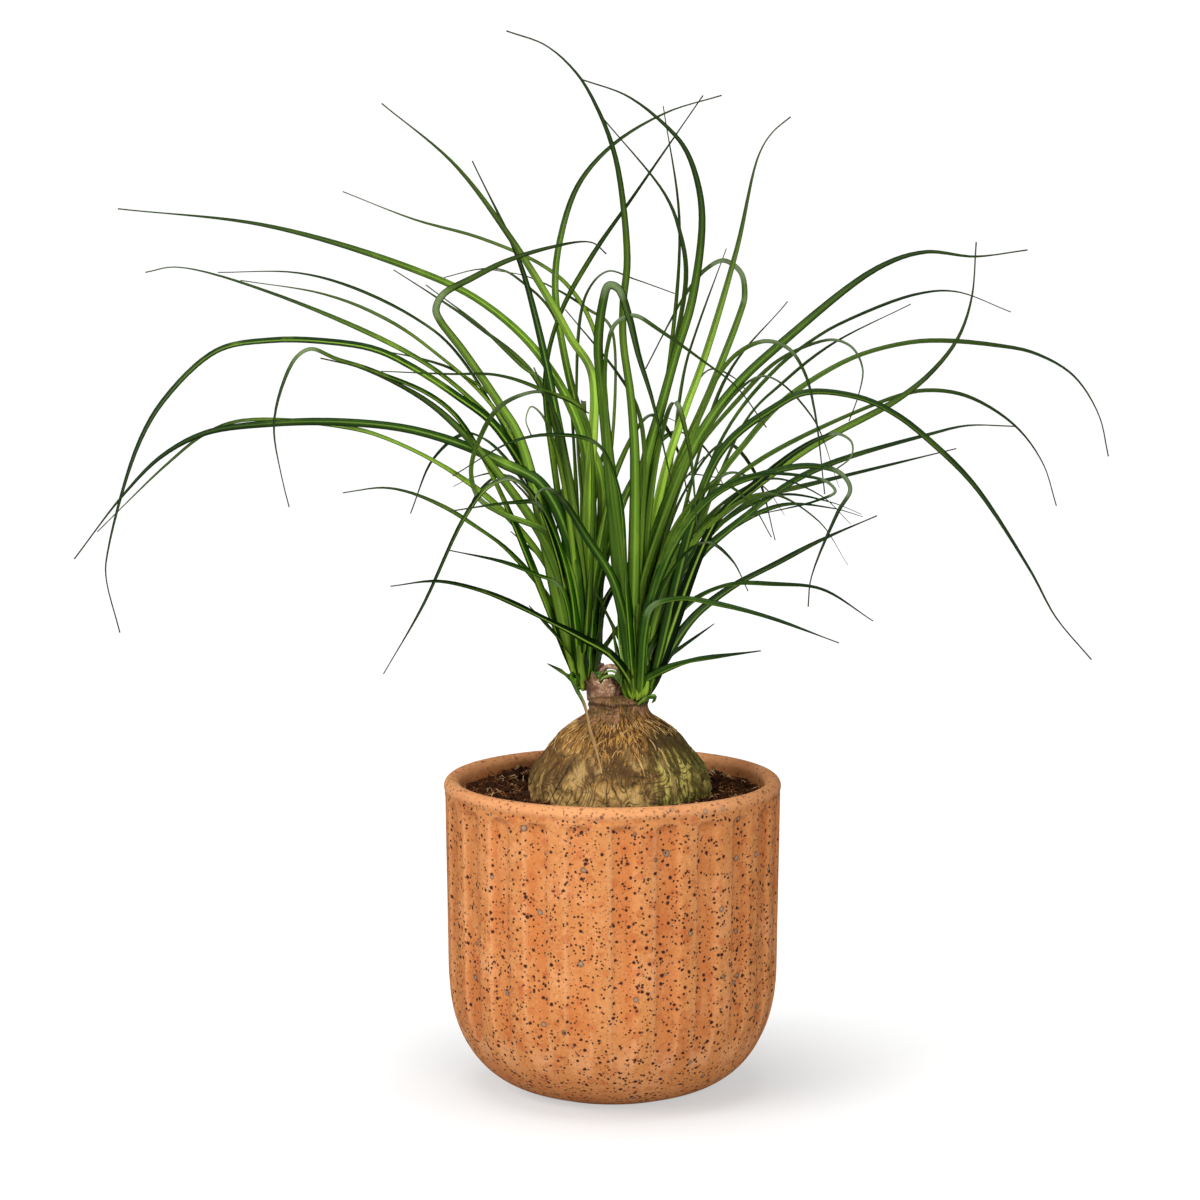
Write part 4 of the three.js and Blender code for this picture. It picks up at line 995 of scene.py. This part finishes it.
rightLeaves = [
    [4, -112, 8, 157, 0, 169, -11.5, 176, -27, 184, -37, 189, -50, 194.3, -67, 198, -85, 196],
    [6, -42, 7, 170, 0.4, 198, -10, 215, -19.4, 229.7, -25, 233.7, -29.2, 231, -28, 224],
    [3, -88, 6, 190, 2, 235, -6, 251, -22, 254.4, -38, 251.8, -61, 238.5],
    [5, -75, 7.8, 175, 8.5, 245, 7, 268, 4, 290, 4, 305, 5.5, 320, 3, 349, 0, 363, -5, 376, -13, 390, -25,
     401, -40, 406.5],
    [6.5, -72, 7, 160, 5, 185, 3, 200, -1, 240, -4, 270, -5.5, 288, -4, 303, -1.5, 311, 2, 310, 6, 300, 10,
     284, 15, 268, 22.5, 236],
    [3.5, -75, 6, 185, -1, 240, -3, 275, -2, 288, 1, 296.5, 8, 299.7, 18, 294, 35, 282, 47, 272.7, 58.6,
     257],
    [6, -50, 8, 175, 12, 240, 18, 263, 24, 285, 30, 305, 33.8, 335, 32, 350, 27, 363, 18, 373, 5, 382.5,
     -12, 388.5],
    [4, -30, 8, 175, 15, 245, 22, 280, 27.8, 315, 25.5, 331, 20, 345, -5, 375.5],
    [3, 15, 8, 180, 16, 250, 22, 285, 25.3, 335, 19, 378.5],
    [5, 0, 9, 180, 20, 240, 27, 262, 35, 284, 47, 325, 55, 360, 60, 368.5, 67, 374.5],
    [5, 10, 10, 185, 22, 235, 38, 273.5, 48.3, 300.5, 50, 307, 48.5, 316, 42, 320.5, 35, 317, 27.6, 307.7,
     21, 296, 12.5, 279.4],
    [2.5, 40, 27, 278, 31, 292, 43, 325],
    [6, -20, 10, 185, 20, 225, 32, 252, 46, 272, 65, 290, 100, 317.5, 118, 323.7, 137, 322, 157, 324.5],
    [3, 60, 40, 250, 61, 278.5, 78, 292, 89, 298, 115, 307.8, 130, 308.8, 151, 301],
    [2.5, 90, 50, 259, 65, 274.6, 83, 288.8, 113, 304],
    [4, 30, 39, 235, 50, 250.4, 63, 265.5, 77, 276, 93.5, 284.6, 112, 289.4, 125, 290.2, 145, 288.5, 160,
     285.5, 175, 277, 185, 262, 189, 246],
    [3.5, -50, 10, 190, 28, 245, 38, 273, 47, 285, 58, 290, 67, 287, 73, 278, 77, 263, 81, 231.5],
    [3.5, -10, 10, 190, 30, 245, 48, 268, 62, 282, 74, 288.3, 84, 290.5, 91, 287.5, 95, 279.5, 93.7, 270,
     90, 259.5],
    [3, 60, 42, 274, 66.3, 305],
    [4.5, -60, 40, 246, 62, 265, 73.7, 270.5, 94, 268.5, 108, 262, 122, 251, 138, 235, 160, 202, 170, 184,
     184, 167.5],
    [5, -30, 12, 180, 28, 212, 45, 227, 76, 250, 108, 267.5, 121, 278, 131, 291, 136, 306, 137.5, 327.5],
    [3.5, 40, 12, 185, 30, 222, 48, 239, 68, 251.5, 108, 269, 120, 271.3, 135, 269, 153, 258, 164, 243.5,
     169.5, 227],
    [4.5, 0, 12, 180, 30, 205, 50, 222.5, 68, 236, 85, 244, 120, 254.3, 135, 257.8, 153, 257.5],
    [4, 30, 12, 175, 30, 207, 44, 222.5, 56, 230.5, 72, 234.5, 131, 249],
    [5.5, -40, 40, 222, 55, 236, 70, 248, 79, 253, 86, 254.6, 91, 251.5, 91, 246, 84.5, 240.5],
    [4.5, -60, 12, 180, 25, 215, 40, 232, 58, 239.5, 76, 242.4, 87, 239.5, 90.7, 233.5, 86, 224.5, 76, 199,
     75, 188],
    [3, -80, 12, 180, 24, 215, 38, 232, 54, 239, 70, 239, 82, 236.2, 85, 232.5, 78, 229, 54, 223.3],
    [4.5, 20, 20, 168, 31, 184, 46, 196, 62, 204.5, 80, 214, 101, 223.2],
    [4, -60, 12, 178, 15, 188, 25, 191.3, 40, 189.3, 60, 184, 87, 174],
    [3.5, -20, 14, 170, 22, 182, 32, 191.5, 45, 196.9, 62, 196.9, 80, 195, 100, 182.5],
    [4, -30, 11, 158, 17, 162.3, 28, 166.7, 57, 171],
    [3, 10, 15, 160, 21, 168, 39, 181.5],
    [3, -10, 4, 172, 0, 181, -6, 193],
    [2.5, 40, 12, 190, 20, 225, 28, 238.5, 39.5, 238],
    [3.5, -35, 10, 200, 12, 250, 9, 265.5, 2, 277.5, -18, 302],
]
driedLeaf = {                   # across, up and depth
    "width": 2.6,
    "line": [(-14.5, 161, 0), (-14, 156, -8), (-11, 150, -16), (-9, 141, -21),
             (-6.3, 132, -28), (-4, 123, -33.5)],
}

# leaves on the sides that the camera doesn't see: directions in degrees
fill = {
    "left": {"count": 10, "middle": 105, "spread": 62, "seed": 12},
    "right": {"count": 11, "middle": -5, "spread": 62, "seed": 29},
}


def keepToSide(across, up, depth, side, room):
    # the point as seen, with its depth moved to the crown's own side of the plane between the bunches
    clear = room * math.hypot(1, leaf["planeSlope"])
    limit = leaf["planeSlope"] * (seen(across, up, depth)[0] - leaf["planeMiddle"]) + side * clear
    return seen(across, up, max(depth, limit) if side > 0 else min(depth, limit))


def rowLine(row, crown, side):
    # the points of a row in space, evenly deeper from the crown to the tip
    width, tipDepth, *flat = row
    points = list(zip(flat[::2], flat[1::2]))
    x, y, z = crown["foot"]
    lengths = np.cumsum([math.dist(a, b) for a, b in zip([(x, z), *points], points)])
    return [keepToSide(*point, mixed(y, tipDepth, share), side, width / 2 + leaf["planeMargin"])
            for point, share in zip(points, lengths / lengths[-1])]


def laidLeaf(width, line, crown):
    # a leaf along the line, from the crown's foot; a narrow one is a usual one seen turned
    foot = np.array(crown["foot"])
    out = unit((line[0] - foot) * (1, 1, 0)) * crown["radius"]
    start = [foot + out * 0.28 + (0, 0, 2.4)]
    if line[0][2] > foot[2] + 12:
        start.append(foot + out * 0.72 + (0, 0, 6.5))
    turn = math.acos(min(1, width / leaf["width"]))
    return {"line": start + line, "width": max(width, leaf["width"]), "turn": turn, "level": False}


def seededDraws(state):
    # the same repeatable numbers as the solids take
    while True:
        state = state * 16807 % 2147483647
        yield state / 2147483647


def fillLeaves(crown, count, middle, spread, seed):
    # arching leaves, set round by the golden angle
    draws = seededDraws(seed)
    foot = np.add(crown["foot"], (0, 0, 7))
    goldenAngle = math.pi * (3 - math.sqrt(5))
    leaves = []
    for i in range(count):
        azimuth = math.radians(middle + spread * ((i * goldenAngle) % (2 * math.pi) / math.pi - 1))
        out = np.array([math.cos(azimuth), math.sin(azimuth), 0]) * (55 + 65 * next(draws))
        rise, droop = 60 + 65 * next(draws), 0.05 + 0.4 * next(draws)
        shape = [(0.015, 0), (0.1, 0.4), (0.32, 0.8), (0.62, 1), (0.86, 1 - droop * 0.35), (1, 1 - droop)]
        line = [foot + out * share + (0, 0, rise * height) for share, height in shape]
        leaves.append({"line": line, "width": leaf["width"], "turn": 0.5 - next(draws), "level": True})
    return leaves


def widthAt(share):
    base = mixed(0.85, 1, smoothStep(0, 0.2, share))
    return base * (1 - 0.45 * smoothStep(0.12, 0.55, share)) * (1 - smoothStep(0.55, 1.06, share)) ** 0.8


def blade(one):
    # a ribbon with a channel: places, faces, and at each face corner (tint, along, underside, fold: how
    # sharply it bends, where a painted sheen goes)
    fine = leaf["fine"]
    dots = curveThrough(one["line"], fine)
    steps = np.diff(dots, axis=0)
    sizes = np.linalg.norm(steps, axis=1)
    lengths = np.r_[0, np.cumsum(sizes)]
    ways = steps / (sizes[:, None] + 1e-12)
    bends = np.r_[0, 0, np.arccos(np.clip((ways[1:] * ways[:-1]).sum(1), -1, 1))]
    measure = lengths / leaf["spacing"] + np.cumsum(bends) / leaf["bend"]
    rings = max(leaf["leastRings"], math.ceil(measure[-1]))
    picks = np.searchsorted(measure, np.linspace(0, measure[-1], rings + 1))
    frames, folds = [], []
    for at in np.unique(np.clip(picks, 0, fine)):
        share = lengths[at] / lengths[-1]
        along = unit(dots[min(at + 1, fine)] - dots[max(at - 1, 0)])
        flat = unit(np.cross(along, (0, 0, 1) if one["level"] else unit(dots[at] - eye)))
        angle = one["turn"] * (1 + 0.3 * math.sin(4 * share))
        across = flat * math.cos(angle) + np.cross(along, flat) * math.sin(angle)
        frames.append((dots[at], share, across, unit(np.cross(along, across))))
        # how sharply the blade bends here, which sets a painted sheen: a painted reflection of the light
        # from above on the tops of bends
        near = slice(max(at - 8, 0), at + 9)
        folds.append(smoothStep(0.035, 0.10, bends[near].sum() / max(np.ptp(lengths[near]), 0.1)))
    under = 1 if sum(below[2] for _, _, _, below in frames) < 0 else -1
    # a ring of eight points: five over the upper side, three back along the lower
    stations = np.array([-1, -0.55, 0, 0.55, 1, 0.55, 0, -0.55])
    lower = np.array([0, 0, 0, 0, 0, 1, 1, 1])
    places = []
    for dot, share, across, below in frames:
        pinch = mixed(one["pinch"], 1, smoothStep(0, one.get("pinchTo", 0.08), share))
        size = one["width"] * widthAt(share) * pinch
        half = max(leaf["leastWidth"], size) / 2
        ripple = 0.10 * half * math.sin(share * 23 + one["tint"] * 9)
        drop = leaf["channel"] * size * (1 - abs(stations) ** 1.4) + ripple * stations
        drop += lower * min(leaf["thickness"], 0.5 * half) * (1 - 0.4 * abs(stations))
        places += list(dot + np.outer(stations, across * half) + np.outer(drop, below * under))
    faces = ringFaces(len(frames), 8)
    if under > 0:
        faces = [face[::-1] for face in faces]
    marks, maps = [], []
    for n, face in enumerate(faces):
        isUnder = float(n % 8 >= 4 and n < len(faces) - 2)
        for k, j in (divmod(v, 8) for v in face):
            along = mixed(one.get("base", 0), one.get("last", 1), frames[k][1])
            marks.append((one["tint"], along, isUnder, folds[k]))
            maps.append((stations[j] / 2 + 0.5, 0.0))
    return places, faces, marks, maps


def leafMaterial(name, dry=False):
    material, t, shader, place = newMaterial(name, 0.38, 0.12)
    mark = t.attribute("leafMark")
    tint, along, under = t.parts(mark["Color"])
    across = t.add("UVMap", uv_map="acrossLeaf").outputs["UV"]
    veins = t.noise(t.stretched(across, 46, 1, 1), 1.0, 2.0, 0.5)
    share = t.parts(across, "XYZ")[0]
    middle = t.awayFrom(share, 0.5)
    patch = t.noise(t.stretched(place, 1, 1, 0.5), 45.0, 3.0, 0.6)
    pale = t.times(t.span(along, 0.10, 0.0, 0.0, 0.85), t.span(tint, 0.35, 0.85, 0.08, 1))
    # a painted sheen on sharp bends away from the foot: a painted reflection of the light from above
    foldSheenShare = t.times(mark["Alpha"], t.span(along, 0.14, 0.22, 0, 0.45))
    colour = t.paint(
        leaf["dark"], leaf, (tint, 0.05, 0.6, "middle"), (tint, 0.4, 1.0, "bright"),
        (patch, 0.50, 0.72, 0, 0.75, "bright"), (patch, 0.30, 0.48, 0.6, 0, "dark"),
        (veins, 0.42, 0.60, 0, 0.5, "dark"), (middle, 0.15, 0.02, 0, 0.6, "bright"),
        (middle, 0.34, 0.48, 0, 0.25, "dark"),
        (share, 0.46, 0.58, 0, 0.4, "dark"),        # painted shade: one half of the blade is painted darker, as the channel would shade it
        (t.times(under, 0.45), "under"), (pale, "base"), (along, 0.34, 0.84, 0, 0.88, "end"),
        (foldSheenShare, "fold"), (along, 0.965, 1.0, 0, 0.8, "tip"))
    if dry:
        straw = t.paint(leaf["straw"], leaf, (patch, 0.4, 0.6, "strawDark"))
        colour = t.paint(colour, leaf, (along, 0.34, 0.5, straw))
    t.feed(shader["Roughness"], t.span(veins, 0.3, 0.7, 0.27, 0.42))
    dress(t, shader, colour, (veins, 0.35, 0.25))
    return material


def leafPiece(name, leaves, material, node):
    parts, marks, maps = [], [], []
    for one in leaves:
        places, faces, someMarks, someMaps = blade(one)
        parts.append((places, faces))
        marks += someMarks
        maps += someMaps
    piece = newPiece(name, *joinParts(parts), material, node=node, slot="leaf")
    if len(piece.data.loops) != len(marks):
        raise ValueError("a leaf face was lost")
    colourLayer(piece, "leafMark", marks, "CORNER")
    piece.data.uv_layers.new(name="acrossLeaf").data.foreach_set("uv", np.array(maps, np.float32).ravel())


def sheathLeaves(crown, draw):
    # the narrow leaf bases that clasp each other at the foot of a crown and spread from it
    wide, leaves = crown["radius"], []
    for k in range(leaf["sheaths"]):
        a = 2 * math.pi * (k + draw.uniform(-0.25, 0.25)) / leaf["sheaths"]
        out, inner = np.array([math.cos(a), math.sin(a), 0]), 0.8 * (k % 2)
        foot = np.add(crown["foot"], (0, 0, draw.uniform(0.4, 1.8)))
        top = 34 + draw.uniform(-7, 9)
        line = [foot + out * (share * wide - inner * part) + (0, 0, up) for share, part, up in (
            (0.26, 0.4, 0), (0.56, 0.7, 3.4), (0.83, 1, 8), (1.05, 1, 15), (1.24, 0, 23), (1.5, 0, top))]
        # painted light: those that face the light are painted bright, the others deep green
        tint = 0.45 * draw.random() + 0.5 * max(0, math.cos(a - leaf["lightFrom"]))
        leaves.append({"line": line, "width": draw.uniform(4, 5.2), "turn": draw.uniform(-0.25, 0.25),
                       "level": True, "tint": tint, "last": 0.4, "pinch": 0.45, "pinchTo": 0.2})
    return leaves


def sheathCore(name, crown, material, node):
    (x, y, z), wide, reach = crown["foot"], crown["radius"], crown["reach"]
    track = curveThrough([(0.32 * wide, 0.9), (0.55 * wide, 3.2), (0.80 * wide, 7.5), (0.93 * wide, 14),
                          (0.7 * wide, 0.6 * reach), (1, reach)], 24)
    angles = turns(48)
    ribs = 0.25 * np.sin(9 * angles)
    places = np.concatenate([ring(r + ribs, angles, z + up, x, y) for r, up in track])
    piece = newPiece(name, places, ringFaces(len(track), len(angles)), material, node=node, slot="leaf")
    colourLayer(piece, "leafMark", [(0.1, 0.2, 0, 0)] * len(places))


def makeLeaves():
    green, halfDry = leafMaterial("leafGreen"), leafMaterial("leafHalfDry", dry=True)
    for word, side, crown, rows in (
            ("left", 1, leftCrown, leftLeaves), ("right", -1, rightCrown, rightLeaves)):
        node = "leaves_" + word
        draw = random.Random(leaf["seed"] + side)
        leaves = [laidLeaf(row[0], rowLine(row, crown, side), crown) for row in rows]
        if word == "left":
            leaves.append(laidLeaf(driedLeaf["width"], [seen(*p) for p in driedLeaf["line"]], crown))
        leaves += fillLeaves(crown, **fill[word])
        for one in leaves:
            # the young upright leaves near the middle are the brightest
            low = min(one["line"], key=lambda p: abs(p[2] - crown["foot"][2] - leaf["brightUp"]))
            away = math.dist(low[:2], crown["foot"][:2])
            one["tint"] = 0.5 * draw.random() + 0.6 * max(0, 1 - away / leaf["brightOut"])
            one["pinch"] = leaf["pinch"]
        dried = leaves.pop(len(rows)) if word == "left" else None
        leafPiece("leafBlades_" + word, leaves + sheathLeaves(crown, draw), green, node)
        sheathCore("leafSheath_" + word, crown, green, node)
        if dried:
            leafPiece("driedLeaf", [dried], halfDry, node)


makeLeaves()
print("leaves")
